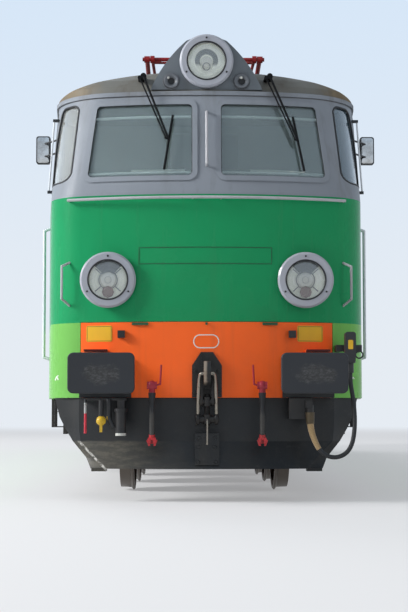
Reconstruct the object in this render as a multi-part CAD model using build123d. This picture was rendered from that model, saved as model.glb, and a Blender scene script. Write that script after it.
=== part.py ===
"""Six-axle electric locomotive with a cab at each end, built as an assembly of separate pieces.

Millimetres. X is across, Y along with the front end at -Y, Z up from the tips of the wheel flanges.
Heights of the body are measured from the rail top, which lies one flange depth above Z = 0.
"""
from build123d import *
import math
import os

os.makedirs("parts", exist_ok=True)

# Wheels and track
FLANGE_DEPTH = 28
RAIL = FLANGE_DEPTH
TREAD_R = 625
FLANGE_R = TREAD_R + FLANGE_DEPTH
WHEEL_WIDTH = 140
BACK_TO_BACK = 1360
AXLE_R = 100
AXLE_Z = RAIL + TREAD_R

# Main sizes
LENGTH_OVER_BUFFERS = 19240
BUFFER_LENGTH = 620
NOSE_Y = -(LENGTH_OVER_BUFFERS / 2 - BUFFER_LENGTH)
BOGIE_Y = 5150
AXLE_PITCH = 1750
BODY_HALF = 1500
SOLE_Z = RAIL + 865
BAND_Z = RAIL + 1516
WAIST_Z = RAIL + 2627
EAVE_Z = RAIL + 3580
CROWN_Z = RAIL + 3845
EAVE_HALF = 1410
WALL = 50
ROOF_WALL = 30
HATCH_Z = RAIL + 3975
SEAM = 4
FIT = 0.3

# Cab plan: a shallow front arc, round corners and sides that widen towards the doors
CAB_REAR_Y = -7400
FACE_R = 3600
NOSE_HALF = 1395
NOSE_CORNER_R = 420
CAB_EAVE_HALF = 1362
EAVE_CORNER_R = 650
SCREEN_RAKE = 250

# Windows, as heights and widths of the clear glass
SCREEN_LOW_Z = RAIL + 2797
SCREEN_HIGH_Z = RAIL + 3460
SCREEN_INNER_X = 126
SCREEN_OUTER_LOW_X = 1050
SCREEN_OUTER_HIGH_X = 972
SCREEN_CORNER_R = 40
FRAME_STEPS = ((52, 5), (45, 11))
GUTTER = (-34, 2, 22)
SIDE_GLASS_LOW_Z = RAIL + 2772
SIDE_GLASS_HIGH_Z = RAIL + 3495
CORNER_GLASS_LOW_X = 1195
CORNER_GLASS_HIGH_X = 1130
CORNER_GLASS_END_Y = -8310
CAB_WINDOW_Y = (-8180, -7590)
GLASS_INSET = 16
GLASS_T = 10

# Doors, louvres and windows along the side
DOOR_Y = (-7300, -6660)
DOOR_Z = (RAIL + 1500, RAIL + 3400)
DOOR_T = 40
DOOR_GAP = 8
DOOR_FACE_X = 1372
DOOR_FRAME = 60
DOOR_SWING = 85
BAYS = "LLWLLWLLWLL"
BAY_PITCH = 1160
LOUVRE = (960, 600)
BAY_WINDOW = (700, 600)
BAY_MID_Z = RAIL + 3110
SLAT_COUNT = 9
SLAT_TILT = 40

# Underframe
FLOOR_Z = (RAIL + 1360, RAIL + 1420)
SILL_X = (1270, BODY_HALF - WALL - FIT)
SILL_Z = RAIL + 1180
KINGPIN_R = 130
RUN_GAP = 0.6
JOURNAL_R = 70
STEP_WIDTH = 340
HEADSTOCK_T = 80
HEADSTOCK_HALF = 1096

# Buffers and draw gear
BUFFER_X = 875
BUFFER_Z = RAIL + 1060
BUFFER_HEAD = (550, 335, 40)
BUFFER_CORNER_R = 48
HOOK_Z = RAIL + 1030

# Pantographs: a diamond of four equal arms, so that fixed ratios fold it exactly
PANTO_Y = 4650
PANTO_BASE_Z = RAIL + 4315
PANTO_SHAFT_Y = 270
ARM_LENGTH = 1620
ARM_REST = 3
ARM_X = 585
ARM_R = 24
HEAD_ARM_X = 520
HEAD_HALF = 975
SHAFT_R = 20
BOSS_R = 38
PIN_GAP = 0.5
PANTO_RISE = 50

# Bogies
BEAM_X = (940, 1100)
BEAM_Z = (RAIL + 860, RAIL + 1080)
TRANSOM_Z = (RAIL + 1030, RAIL + 1200)
TRANSOM_Y = (690, 1060)
END_BEAM_Y = (2440, 2560)
BOX_HALF = 125
MOTOR_R = 345
MOTOR_OFFSET = 480
BRAKE_GAP = 8

written = {}


def block(x, y, z):
    """A block between three pairs of coordinates."""
    size = [abs(high - low) for low, high in (x, y, z)]
    return Pos(sum(x) / 2, sum(y) / 2, sum(z) / 2) * Box(*size)


def rod(start, end, radius):
    """A round bar between two points."""
    along = Vector(*end) - Vector(*start)
    bar = Cylinder(radius, along.length, align=(Align.CENTER, Align.CENTER, Align.MIN))
    return Plane(origin=Vector(*start), z_dir=along) * bar


def ring(start, end, outer, inner):
    """A tube between two points."""
    return rod(start, end, outer) - rod(start, end, inner)


def bar_along(points, radius):
    """A bent round bar: straight runs with a ball at each bend."""
    bar = rod(points[0], points[1], radius)
    for a, b in zip(points[1:], points[2:]):
        bar = bar + Pos(*a) * Sphere(radius) + rod(a, b, radius)
    return bar


def mirrored(shape):
    """The same piece on the other side of the locomotive."""
    return shape.mirror(Plane.YZ)


def turned(shape):
    """The same piece at the other end of the locomotive."""
    return shape.rotate(Axis.Z, 180)


def pair(shape):
    return [shape, mirrored(shape)]


def at_both_ends(shapes):
    return list(shapes) + [turned(s) for s in shapes]


def save(name, shapes):
    """Writes one node, as a compound of its separate solids."""
    solids = [s for shape in shapes for s in shape.solids()]
    written[name] = solids
    export_step(Compound(children=solids), f"parts/{name}.step")


def flat_xz(points, radii, y_span, grow=0.0):
    """A prism along Y from an outline of (x, z) points, each corner with its own radius."""
    return outline_prism([(x, 0, z) for x, z in points], radii, grow, (0, 1, 0), y_span)


def flat_yz(points, radii, x_span, grow=0.0):
    """A prism along X from an outline of (y, z) points, each corner with its own radius."""
    return outline_prism([(0, y, z) for y, z in points], radii, grow, (1, 0, 0), x_span)


def outline_prism(points, radii, grow, direction, span):
    direction = Vector(*direction)
    edge = FilletPolyline(*points, radius=radii, close=True) if any(radii) else Polyline(*points, close=True)
    face = make_face(edge)
    if grow:
        face = Face(face.face().outer_wire().offset_2d(grow))
    face = Pos(*(direction * min(span))) * face
    return extrude(face, amount=max(span) - min(span), dir=direction)


# Cab shell

def cab_plan(level, inset=0.0, overrun=0.0):
    """Outline of a cab in plan. level is (z, front y, nose half width, rear half width, corner radius)."""
    z, face_y, nose_half, rear_half, corner_r = level
    taper = 0.0
    for _ in range(20):
        corner_x = nose_half - corner_r * math.cos(taper)
        swing = math.asin(corner_x / (FACE_R - corner_r))
        corner_y = face_y + FACE_R - (FACE_R - corner_r) * math.cos(swing)
        side_y = corner_y - corner_r * math.sin(taper)
        taper = math.atan2(rear_half - nose_half, CAB_REAR_Y - side_y)
    r = corner_r - inset
    half_turn = (swing + math.pi / 2 - taper) / 2
    tangent = ((FACE_R - inset) * math.sin(swing), face_y + FACE_R - (FACE_R - inset) * math.cos(swing))
    middle = (corner_x + r * math.sin(half_turn), corner_y - r * math.cos(half_turn))
    corner_end = (corner_x + r * math.cos(taper), corner_y - r * math.sin(taper))
    run = CAB_REAR_Y + overrun - corner_end[1]
    rear = (corner_end[0] + run * math.tan(taper), CAB_REAR_Y + overrun)
    return z, (0, face_y + inset), tangent, middle, corner_end, rear


def plan_face(level, inset=0.0, overrun=0.0):
    z, front, tangent, middle, corner_end, rear = cab_plan(level, inset, overrun)
    right = [Vector(x, y, z) for x, y in (tangent, middle, corner_end, rear)]
    left = [Vector(-p.X, p.Y, p.Z) for p in right]
    edges = [
        Line(left[3], left[2]),
        ThreePointArc(left[2], left[1], left[0]),
        ThreePointArc(left[0], Vector(*front, z), right[0]),
        ThreePointArc(right[0], right[1], right[2]),
        Line(right[2], right[3]),
        Line(right[3], left[3]),
    ]
    return make_face(Wire(edges))


def nose_level(z):
    return (z, NOSE_Y, NOSE_HALF, BODY_HALF, NOSE_CORNER_R)


def eave_level(z, setback=0.0):
    nose_half = EAVE_HALF if setback else CAB_EAVE_HALF
    return (z, NOSE_Y + SCREEN_RAKE + setback, nose_half, EAVE_HALF, EAVE_CORNER_R)


def nose_solid(inset=0.0, overrun=0.0, low=SOLE_Z, high=WAIST_Z):
    """The lower cab, upright from the sole bar to the waist."""
    return extrude(plan_face(nose_level(low), inset, overrun), amount=high - low, dir=(0, 0, 1))


def window_solid(inset=0.0, overrun=0.0):
    """The upper cab, leaning back and inwards from the waist to the eaves."""
    low = plan_face(nose_level(WAIST_Z), inset, overrun)
    high = plan_face(eave_level(EAVE_Z), inset, overrun)
    return loft([low, high], ruled=True)


def face_y_at(x, level=None, inset=0.0):
    """Where the cab's outer skin lies at a distance x from the centre line."""
    z, front, tangent, middle, corner_end, rear = cab_plan(level or nose_level(SOLE_Z), inset)
    x = abs(x)
    if x <= tangent[0]:
        return front[1] + FACE_R - inset - math.sqrt((FACE_R - inset) ** 2 - x * x)
    share = (x - tangent[0]) / (corner_end[0] - tangent[0])
    return tangent[1] + share ** 2 * (corner_end[1] - tangent[1])


def side_x_at(y, z):
    """Half width of the cab's side over its outer skin, at a station y and a height above the waist."""
    widths = []
    for level in (nose_level(WAIST_Z), eave_level(EAVE_Z)):
        corner, rear = cab_plan(level)[4:]
        widths.append(corner[0] + (y - corner[1]) / (rear[1] - corner[1]) * (rear[0] - corner[0]))
    return widths[0] + (z - WAIST_Z) / (EAVE_Z - WAIST_Z) * (widths[1] - widths[0])


def screen_cutter(side, grow=0.0, depth=(NOSE_Y - 60, NOSE_Y + 620)):
    points = [(SCREEN_INNER_X, SCREEN_LOW_Z), (SCREEN_OUTER_LOW_X, SCREEN_LOW_Z),
              (SCREEN_OUTER_HIGH_X, SCREEN_HIGH_Z), (SCREEN_INNER_X, SCREEN_HIGH_Z)]
    return flat_xz([(side * x, z) for x, z in points], [SCREEN_CORNER_R] * 4, depth, grow)


def corner_cutter(side, grow=0.0):
    """The wrapped corner window: what shows in both the front and the side view of its outline."""
    far_x = BODY_HALF + 100
    front = [(CORNER_GLASS_LOW_X, SIDE_GLASS_LOW_Z), (far_x, SIDE_GLASS_LOW_Z),
             (far_x, SIDE_GLASS_HIGH_Z), (CORNER_GLASS_HIGH_X, SIDE_GLASS_HIGH_Z)]
    from_front = flat_xz([(side * x, z) for x, z in front], [110, 1, 1, 55], (NOSE_Y - 60, CORNER_GLASS_END_Y), grow)
    side_view = [(NOSE_Y - 200, SIDE_GLASS_LOW_Z), (CORNER_GLASS_END_Y, SIDE_GLASS_LOW_Z),
                 (CORNER_GLASS_END_Y, SIDE_GLASS_HIGH_Z), (NOSE_Y - 200, SIDE_GLASS_HIGH_Z)]
    from_side = flat_yz(side_view, [1, 60, 60, 1], sorted((side * 600, side * (far_x + 50))), grow)
    return from_front & from_side


def side_cutter(grow=0.0):
    y0, y1 = CAB_WINDOW_Y
    points = [(y0, SIDE_GLASS_LOW_Z), (y1, SIDE_GLASS_LOW_Z), (y1, SIDE_GLASS_HIGH_Z), (y0, SIDE_GLASS_HIGH_Z)]
    return flat_yz(points, [50] * 4, (-BODY_HALF - 100, BODY_HALF + 100), grow)


def cab_nose():
    shell = nose_solid() - nose_solid(WALL, 20, SOLE_Z - 10, WAIST_Z + 10)
    beam_gap = block((-HEADSTOCK_HALF - SEAM, HEADSTOCK_HALF + SEAM), (NOSE_Y - 50, NOSE_Y + 400),
                     (SOLE_Z - 10, BAND_Z + SEAM))
    return shell - beam_gap


def headstock():
    """The buffer beam's face plate, curved with the nose, with a tread above each buffer."""
    plate = nose_solid(0, 0, SOLE_Z, BAND_Z) - nose_solid(HEADSTOCK_T, 20, SOLE_Z - 10, BAND_Z + 10)
    plate = plate & block((-HEADSTOCK_HALF, HEADSTOCK_HALF), (NOSE_Y - 10, NOSE_Y + 500), (SOLE_Z, BAND_Z))
    for side in (-1, 1):
        tread = block(sorted((side * 850, side * 1050)), (NOSE_Y - 130, NOSE_Y + 160), (RAIL + 1256, RAIL + 1274))
        plate = plate + (tread - nose_solid(20, 20, SOLE_Z, BAND_Z))
    return plate


def skin():
    """The nose's outer skin as a solid, grown by the fitting gap, to cut what is seated on it."""
    return nose_solid(-FIT, 0, SOLE_Z, BAND_Z)


def window_band():
    """The wall between waist and eaves, with a stepped moulding round each windscreen."""
    band = window_solid() - window_solid(WALL, 20)
    for side in (-1, 1):
        for margin, height in FRAME_STEPS:
            band = band + (screen_cutter(side, margin, (NOSE_Y - 60, NOSE_Y + 500)) & window_solid(-height)) - window_solid(20)
        band = band - screen_cutter(side) - corner_cutter(side)
    return band - side_cutter()


def cab_glass():
    pane = window_solid(GLASS_INSET) - window_solid(GLASS_INSET + GLASS_T, 20)
    panes = [pane & cutter for side in (-1, 1) for cutter in (screen_cutter(side, -FIT), corner_cutter(side, -FIT))]
    panes += (pane & side_cutter(-FIT)).solids()
    return panes


# Roof

def roof_arc_radius():
    rise = CROWN_Z - EAVE_Z
    return (EAVE_HALF ** 2 + rise ** 2) / (2 * rise)


def roof_height(x, drop=0.0):
    r = roof_arc_radius() - drop
    return CROWN_Z - roof_arc_radius() + math.sqrt(r * r - x * x)


def roof_prism(y_span, drop=0.0, low=EAVE_Z):
    """The arched roof section between two stations, lowered by drop for its inner face."""
    r = roof_arc_radius() - drop
    centre_z = CROWN_Z - roof_arc_radius()
    half = math.sqrt(r * r - (low - centre_z) ** 2)
    ends = [Vector(-half, 0, low), Vector(half, 0, low)]
    face = make_face(Wire([ThreePointArc(ends[0], Vector(0, 0, centre_z + r), ends[1]), Line(ends[1], ends[0])]))
    face = Pos(0, min(y_span), 0) * face
    return extrude(face, amount=max(y_span) - min(y_span), dir=(0, 1, 0))


# How the front of the cab roof falls back: (height above the eaves, setback from the eaves' front)
ROOF_FRONT = [(0, 0), (70, 40), (140, 120), (200, 230), (290, 420)]


def cab_roof_solid(drop=0.0, overrun=0.0):
    faces = [plan_face(eave_level(EAVE_Z + rise - drop, setback), drop, overrun) for rise, setback in ROOF_FRONT]
    dome = loft(faces, ruled=True)
    return dome & roof_prism((NOSE_Y, CAB_REAR_Y + overrun), drop, EAVE_Z - drop)


def cab_roof():
    low, high, out = GUTTER
    gutter = extrude(plan_face(eave_level(EAVE_Z + low), -out), amount=high - low, dir=(0, 0, 1))
    gutter = gutter - window_solid(-FIT)
    gutter = gutter - extrude(plan_face(eave_level(EAVE_Z - 5), ROOF_WALL, 20), amount=60, dir=(0, 0, 1))
    return cab_roof_solid() - cab_roof_solid(ROOF_WALL, 20) + gutter


def roof_panels():
    """Three lift-out roof sections, each with a raised hatch that carries a cooling grille."""
    seams = [CAB_REAR_Y + SEAM, -2450, 2450, -CAB_REAR_Y - SEAM]
    panels = []
    for low, high in zip(seams, seams[1:]):
        span = (low + SEAM / 2, high - SEAM / 2)
        panel = roof_prism(span) - roof_prism((span[0] - 10, span[1] + 10), ROOF_WALL, EAVE_Z - 10)
        panels.append(panel)
    middle = panels[1]
    for y in (-1250, 1250):
        hatch = block((-620, 620), (y - 850, y + 850), (RAIL + 3700, HATCH_Z))
        hatch = hatch - block((-590, 590), (y - 820, y + 820), (RAIL + 3690, HATCH_Z - ROOF_WALL))
        for i in range(9):
            slot_y = y - 700 + i * 175
            hatch = hatch - block((-520, 520), (slot_y - 45, slot_y + 45), (HATCH_Z - 40, HATCH_Z + 10))
        hatch = hatch - roof_prism((-2600, 2600), 5, EAVE_Z)
        middle = middle + hatch
    panels[1] = middle
    return panels


# Body side

def wall_profile(inset=0.0):
    return [(BODY_HALF - inset, SOLE_Z), (BODY_HALF - inset, WAIST_Z), (EAVE_HALF - inset, EAVE_Z)]


def body_half_solid(inset=0.0):
    """Everything between the centre and the right outer skin, along the machine room."""
    edge = [(0, SOLE_Z)] + wall_profile(inset) + [(0, EAVE_Z)]
    return flat_xz(edge, [0] * 5, (CAB_REAR_Y + SEAM, -CAB_REAR_Y - SEAM))


def bay_positions(kind):
    first = -(len(BAYS) - 1) / 2 * BAY_PITCH
    return [first + i * BAY_PITCH for i, letter in enumerate(BAYS) if letter == kind]


def bay_cutter(y, size, radius, grow=0.0):
    width, height = size
    low, high = BAY_MID_Z - height / 2, BAY_MID_Z + height / 2
    points = [(y - width / 2, low), (y + width / 2, low), (y + width / 2, high), (y - width / 2, high)]
    return flat_yz(points, [radius] * 4, (EAVE_HALF - 250, BODY_HALF + 50), grow)


def side_wall():
    wall = body_half_solid() - body_half_solid(WALL)
    frames = []
    for sign in (1, -1):
        y0, y1 = sorted((sign * DOOR_Y[0], sign * DOOR_Y[1]))
        frame = block((DOOR_FACE_X - DOOR_T, BODY_HALF), (y0 - DOOR_FRAME, y1 + DOOR_FRAME),
                      (DOOR_Z[0] - DOOR_FRAME, DOOR_Z[1] + DOOR_FRAME))
        wall = wall + (frame & body_half_solid())
        frames.append(block((DOOR_FACE_X - 200, BODY_HALF + 50), (y0, y1), DOOR_Z))
    for opening in frames:
        wall = wall - opening
    wall = wall + block((EAVE_HALF - 10, EAVE_HALF + GUTTER[2]), (CAB_REAR_Y + SEAM, -CAB_REAR_Y - SEAM),
                        (EAVE_Z + GUTTER[0], EAVE_Z - FIT))
    for sign in (1, -1):
        wall = wall + hinge_brackets(sign)
    for y in bay_positions("L"):
        wall = wall - bay_cutter(y, LOUVRE, 20)
    for y in bay_positions("W"):
        wall = wall - bay_cutter(y, BAY_WINDOW, 70)
    return wall


def lean_angle():
    return math.degrees(math.atan2(BODY_HALF - EAVE_HALF, EAVE_Z - WAIST_Z))


def skin_x(z, inset=0.0):
    """The body side's outer face at a height above the waist."""
    return BODY_HALF - inset - (z - WAIST_Z) * (BODY_HALF - EAVE_HALF) / (EAVE_Z - WAIST_Z)


def louvre_panel(y):
    """A pressed frame with tilted slats, let into the leaning upper wall."""
    width, height = LOUVRE
    rim = 35
    deep = WALL - 10
    skin = body_half_solid(4) - body_half_solid(4 + deep)
    frame = (skin & bay_cutter(y, LOUVRE, 20, -FIT)) - bay_cutter(y, (width - 2 * rim, height - 2 * rim), 2)
    pitch = (height - 2 * rim) / SLAT_COUNT
    for i in range(SLAT_COUNT):
        z = BAY_MID_Z - height / 2 + rim + pitch * (i + 0.5)
        middle = Pos(skin_x(z, 4 + deep / 2), y, z)
        frame = frame + middle * Rot(0, SLAT_TILT, 0) * Box(deep * 1.1, width - 2 * rim + 2, 7)
    return frame


def bay_windows():
    glass = body_half_solid(GLASS_INSET) - body_half_solid(GLASS_INSET + GLASS_T)
    return [glass & bay_cutter(y, BAY_WINDOW, 70, -FIT) for y in bay_positions("W")]


HINGE_X = DOOR_FACE_X - DOOR_T - 14
HINGE_Y = DOOR_Y[1] - DOOR_GAP / 2
HINGE_PIN_R = 6
HINGE_HEIGHTS = (RAIL + 1640, RAIL + 2450, RAIL + 3260)


def hinge_brackets(sign):
    """The frame's half of three door hinges: a pin held between two ears."""
    half = None
    for z in HINGE_HEIGHTS:
        hinge = rod((HINGE_X, HINGE_Y, z - 70), (HINGE_X, HINGE_Y, z + 70), HINGE_PIN_R)
        for low in (z - 70, z + 45):
            hinge = hinge + block((HINGE_X - 8, HINGE_X + 8), (HINGE_Y - 8, HINGE_Y + 24), (low, low + 25))
            hinge = hinge + block((HINGE_X - 8, HINGE_X + 15), (HINGE_Y + 5, HINGE_Y + 24), (low, low + 25))
        half = hinge if half is None else half + hinge
    return half if sign > 0 else half.mirror(Plane.XZ)


def door(sign_x, sign_y):
    """A cab door leaf with its window, hung on its inner rear edge and opening inwards."""
    y0, y1 = DOOR_Y[0] + DOOR_GAP, DOOR_Y[1] - DOOR_GAP
    leaf = block((DOOR_FACE_X - DOOR_T, DOOR_FACE_X), (y0, y1), (DOOR_Z[0] + DOOR_GAP, DOOR_Z[1] - DOOR_GAP))
    mid = (y0 + y1) / 2
    pane_low, pane_high = RAIL + 2720, RAIL + 3300
    pane = [(mid - 200, pane_low), (mid + 200, pane_low), (mid + 200, pane_high), (mid - 200, pane_high)]
    leaf = leaf - flat_yz(pane, [60] * 4, (DOOR_FACE_X - 10, DOOR_FACE_X + 10))
    leaf = leaf - flat_yz(pane, [60] * 4, (DOOR_FACE_X - DOOR_T - 10, DOOR_FACE_X - DOOR_T + 12))
    handle = bar_along([(DOOR_FACE_X - 5, y0 + 70, RAIL + 2280), (DOOR_FACE_X + 45, y0 + 70, RAIL + 2280),
                        (DOOR_FACE_X + 45, y0 + 190, RAIL + 2280)], 11)
    leaf = leaf + handle
    for z in HINGE_HEIGHTS:
        span = (z - 45 + FIT, z + 45 - FIT)
        leaf = leaf + rod((HINGE_X, HINGE_Y, span[0]), (HINGE_X, HINGE_Y, span[1]), 13)
        leaf = leaf + block((HINGE_X, HINGE_X + 15), (HINGE_Y - 13, HINGE_Y - 5), span)
        leaf = leaf - rod((HINGE_X, HINGE_Y, z - 60), (HINGE_X, HINGE_Y, z + 60), HINGE_PIN_R + RUN_GAP)
    if sign_x < 0:
        leaf = mirrored(leaf)
    if sign_y < 0:
        return leaf
    return leaf.mirror(Plane.XZ)


# Underframe

def underframe():
    y_end = -NOSE_Y - 260
    frame = block((-BODY_HALF + WALL + FIT, BODY_HALF - WALL - FIT), (CAB_REAR_Y + 10, -CAB_REAR_Y - 10), FLOOR_Z)
    for end in (-1, 1):
        deck = nose_solid(HEADSTOCK_T + FIT, 10, FLOOR_Z[0], FLOOR_Z[1])
        beam = nose_solid(HEADSTOCK_T + FIT, 0, SOLE_Z, FLOOR_Z[0])
        beam = beam & block((-HEADSTOCK_HALF, HEADSTOCK_HALF), (NOSE_Y, NOSE_Y + 360), (SOLE_Z, FLOOR_Z[0]))
        deck = deck + beam
        if end > 0:
            deck = turned(deck)
        frame = frame + deck
    for side in (-1, 1):
        sill = block(sorted((side * SILL_X[0], side * SILL_X[1])), (CAB_REAR_Y, -CAB_REAR_Y), (SILL_Z, FLOOR_Z[0]))
        keel = block(sorted((side * 300, side * 400)), (-y_end, y_end), (RAIL + 1270, FLOOR_Z[0]))
        frame = frame + sill + keel
    for y in (-7300, -6025, -4275, -2400, 0, 2400, 4275, 6025, 7300):
        frame = frame + block((-SILL_X[0], SILL_X[0]), (y - 60, y + 60), (RAIL + 1270, FLOOR_Z[0]))
    for y in (-BOGIE_Y, BOGIE_Y):
        frame = frame + block((-SILL_X[0], SILL_X[0]), (y - 220, y + 220), (RAIL + 1325, FLOOR_Z[0]))
        frame = frame + rod((0, y, RAIL + 1060), (0, y, FLOOR_Z[0]), KINGPIN_R)
    return frame


def bulkhead():
    """The cab's raised floor with the wall behind the driver and its doorway."""
    top = RAIL + 1620
    floor = nose_solid(WALL + FIT, 0, FLOOR_Z[1] + FIT, top)
    floor = floor & block((-BODY_HALF, BODY_HALF), (NOSE_Y + 300, CAB_REAR_Y - 40), (FLOOR_Z[1], top))
    wall_y = (CAB_REAR_Y - 40, CAB_REAR_Y - 5)
    wall = nose_solid(WALL + FIT, 0, FLOOR_Z[1] + FIT, WAIST_Z) + window_solid(WALL + FIT)
    wall = wall & block((-BODY_HALF, BODY_HALF), wall_y, (FLOOR_Z[1], EAVE_Z - 60))
    doorway = block((-330, 330), (wall_y[0] - 10, wall_y[1] + 10), (top, RAIL + 3450))
    return floor + (wall - doorway)


def cab_desk():
    profile = [(-8720, 1620), (-8380, 1620), (-8380, 2230), (-8170, 2330), (-8170, 2420), (-8460, 2560), (-8720, 2600)]
    desk = flat_yz([(y, RAIL + z + 0.3) for y, z in profile], [0] * 7, (-1050, 1050))
    knee = block((-820, -260), (-8500, -8100), (RAIL + 1700, RAIL + 2200))
    console = block((380, 700), (-8560, -8460), (RAIL + 2540, RAIL + 2690))
    return desk - knee - mirrored(knee) + console


def cab_seat(x):
    base = rod((x, -7830, RAIL + 1620.3), (x, -7830, RAIL + 2020), 45)
    base = base + rod((x, -7830, RAIL + 1620.3), (x, -7830, RAIL + 1645), 190)
    cushion = flat_xz([(x - 230, RAIL + 2010), (x + 230, RAIL + 2010), (x + 230, RAIL + 2110), (x - 230, RAIL + 2110)],
                      [35] * 4, (-8050, -7610))
    back = [(-7700, RAIL + 2090), (-7620, RAIL + 2090), (-7530, RAIL + 2760), (-7600, RAIL + 2760)]
    return base + cushion + flat_yz(back, [25] * 4, (x - 220, x + 220))


# Front fittings

LAMP_X = 855
LAMP_Z = RAIL + 1880
LAMP_R = 242
LAMP_GLASS_R = 165
TOP_LAMP_Z = RAIL + 3847
TOP_LAMP_R = 239
FAIRING_Y = NOSE_Y + 262
HORN_X = 312
HORN_Z = RAIL + 3672


def lamp_housing(x, z, radius, face_y, depth):
    """A drum with a rounded bezel ring in front and a dished reflector seat inside."""
    profile = [(LAMP_GLASS_R + 4, 0), (radius - 16, 0), (radius, 16), (radius, 52), (radius - 14, 60),
               (radius - 14, depth), (0, depth), (0, 120), (70, 96), (LAMP_GLASS_R + 4, 34)]
    face = make_face(Polyline(*[(r, d, 0) for r, d in profile], close=True))
    return Pos(x, face_y, z) * revolve(face, Axis.Y)


def lens(x, z, face_y):
    """A slightly domed front glass."""
    rim = LAMP_GLASS_R + 4 - FIT
    left, right = Vector(0, 6, 0), Vector(rim, 24, 0)
    edges = [ThreePointArc(left, Vector(rim * 0.52, 10, 0), right), Line(right, Vector(rim, 32, 0)),
             Line(Vector(rim, 32, 0), Vector(0, 14, 0)), Line(Vector(0, 14, 0), left)]
    return Pos(x, face_y, z) * revolve(make_face(Wire(edges)), Axis.Y)


def headlights():
    lamps, glasses = [], []
    for side in (-1, 1):
        x = side * LAMP_X
        near = face_y_at(abs(x) - LAMP_R)
        lamp = lamp_housing(x, LAMP_Z, LAMP_R, near - 62, 300)
        lamps.append(lamp - nose_solid(-FIT, 0, SOLE_Z, WAIST_Z))
        glasses.append(lens(x, LAMP_Z, near - 62))
    top_y = FAIRING_Y - 70
    lamps.append(lamp_housing(0, TOP_LAMP_Z, TOP_LAMP_R, top_y, 130) - cab_roof_solid(-FIT))
    glasses.append(lens(0, TOP_LAMP_Z, top_y))
    return lamps, glasses


def lamp_fairing():
    """The bell-shaped housing over the windscreens that carries the top lamp and two horns."""
    base_z = EAVE_Z + 19
    half = 496
    shoulder = (TOP_LAMP_R * 0.75, TOP_LAMP_Z + TOP_LAMP_R * 0.81)
    left = [Vector(-half, 0, base_z), Vector(-half + 12, 0, base_z + 30), Vector(-shoulder[0], 0, shoulder[1])]
    right = [Vector(-p.X, 0, p.Z) for p in left]
    crown = Vector(0, 0, TOP_LAMP_Z + TOP_LAMP_R - 8)
    hip = Vector(-half * 0.755, 0, base_z + 222)
    edges = [Line(left[0], left[1]), ThreePointArc(left[1], hip, left[2]), ThreePointArc(left[2], crown, right[2]),
             ThreePointArc(right[2], Vector(-hip.X, 0, hip.Z), right[1]), Line(right[1], right[0]),
             Line(right[0], left[0])]
    front = Pos(0, FAIRING_Y, 0) * make_face(Wire(edges))
    body = extrude(front, amount=820, dir=(0, 1, 0))
    slope = flat_yz([(FAIRING_Y - 10, RAIL + 4200), (FAIRING_Y + 130, RAIL + 4200), (FAIRING_Y + 130, RAIL + 4090),
                     (FAIRING_Y + 900, CROWN_Z - 10), (FAIRING_Y + 900, RAIL + 3560), (FAIRING_Y - 10, RAIL + 3560)],
                    [0] * 6, (-600, 600))
    body = body & slope
    body = body - rod((0, FAIRING_Y - 10, TOP_LAMP_Z), (0, FAIRING_Y + 60 + FIT, TOP_LAMP_Z), TOP_LAMP_R - 14 + FIT)
    for side in (-1, 1):
        x = side * HORN_X
        body = body - rod((x, FAIRING_Y - 10, HORN_Z), (x, FAIRING_Y + 30, HORN_Z), 62)
        bell = revolve(make_face(Polyline((0, 36, 0), (22, 36, 0), (22, 10, 0), (56, -32, 0), (48, -32, 0), (0, 22, 0),
                                          close=True)), Axis.Y)
        body = body + Pos(x, FAIRING_Y, HORN_Z) * bell
    hidden = block((-600, 600), (FAIRING_Y + 100, CAB_REAR_Y + 100), (EAVE_Z - 50, EAVE_Z + 60))
    return body - (cab_roof_solid(-FIT) + hidden)


def end_handrails():
    """The long rail under the windscreens, the short one between them and a grip beside each lamp."""
    r = 13
    z = RAIL + 2591
    end_x = 1220
    stand = 62
    ends = [Vector(s * end_x, face_y_at(end_x) - stand, z) for s in (-1, 1)]
    line = ThreePointArc(ends[0], Vector(0, NOSE_Y - stand, z), ends[1])
    long_rail = sweep(Plane(origin=line @ 0, z_dir=line % 0) * Circle(r), path=line)
    for x in (-end_x + 12, -120, 120, end_x - 12):
        share = (x + end_x) / (2 * end_x)
        at = line @ share
        long_rail = long_rail + rod((at.X, at.Y, z), (at.X, face_y_at(at.X) + 30, z), 10)
    long_rail = long_rail - nose_solid(-FIT)
    lean = SCREEN_RAKE / (EAVE_Z - WAIST_Z)
    foot, top = RAIL + 2885, RAIL + 3387
    y_foot = NOSE_Y + lean * (foot - WAIST_Z)
    y_top = NOSE_Y + lean * (top - WAIST_Z)
    post = bar_along([(0, y_foot - 1, foot), (0, y_foot - 55, foot + 12), (0, y_top - 55, top - 12), (0, y_top - 1, top)], 12)
    post = post - window_solid(-FIT)
    grips = []
    for s in (-1, 1):
        x_in, x_out = s * 1195, s * 1264
        y_in, y_out = face_y_at(1195) + 20, face_y_at(1195) - 60
        grip = bar_along([(x_in, y_in, RAIL + 2052), (x_out, y_out, RAIL + 2010), (x_out, y_out, RAIL + 1725),
                          (x_in, y_in, RAIL + 1665)], 11)
        grips.append(grip - nose_solid(-FIT))
    return [long_rail, post] + grips


# Both wipers swing the same way: (pivot x, arm end x, blade's lower x, blade's upper x)
WIPERS = {-1: (-560, -334, -372, -297), 1: (564, 805, 856, 765)}


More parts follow.
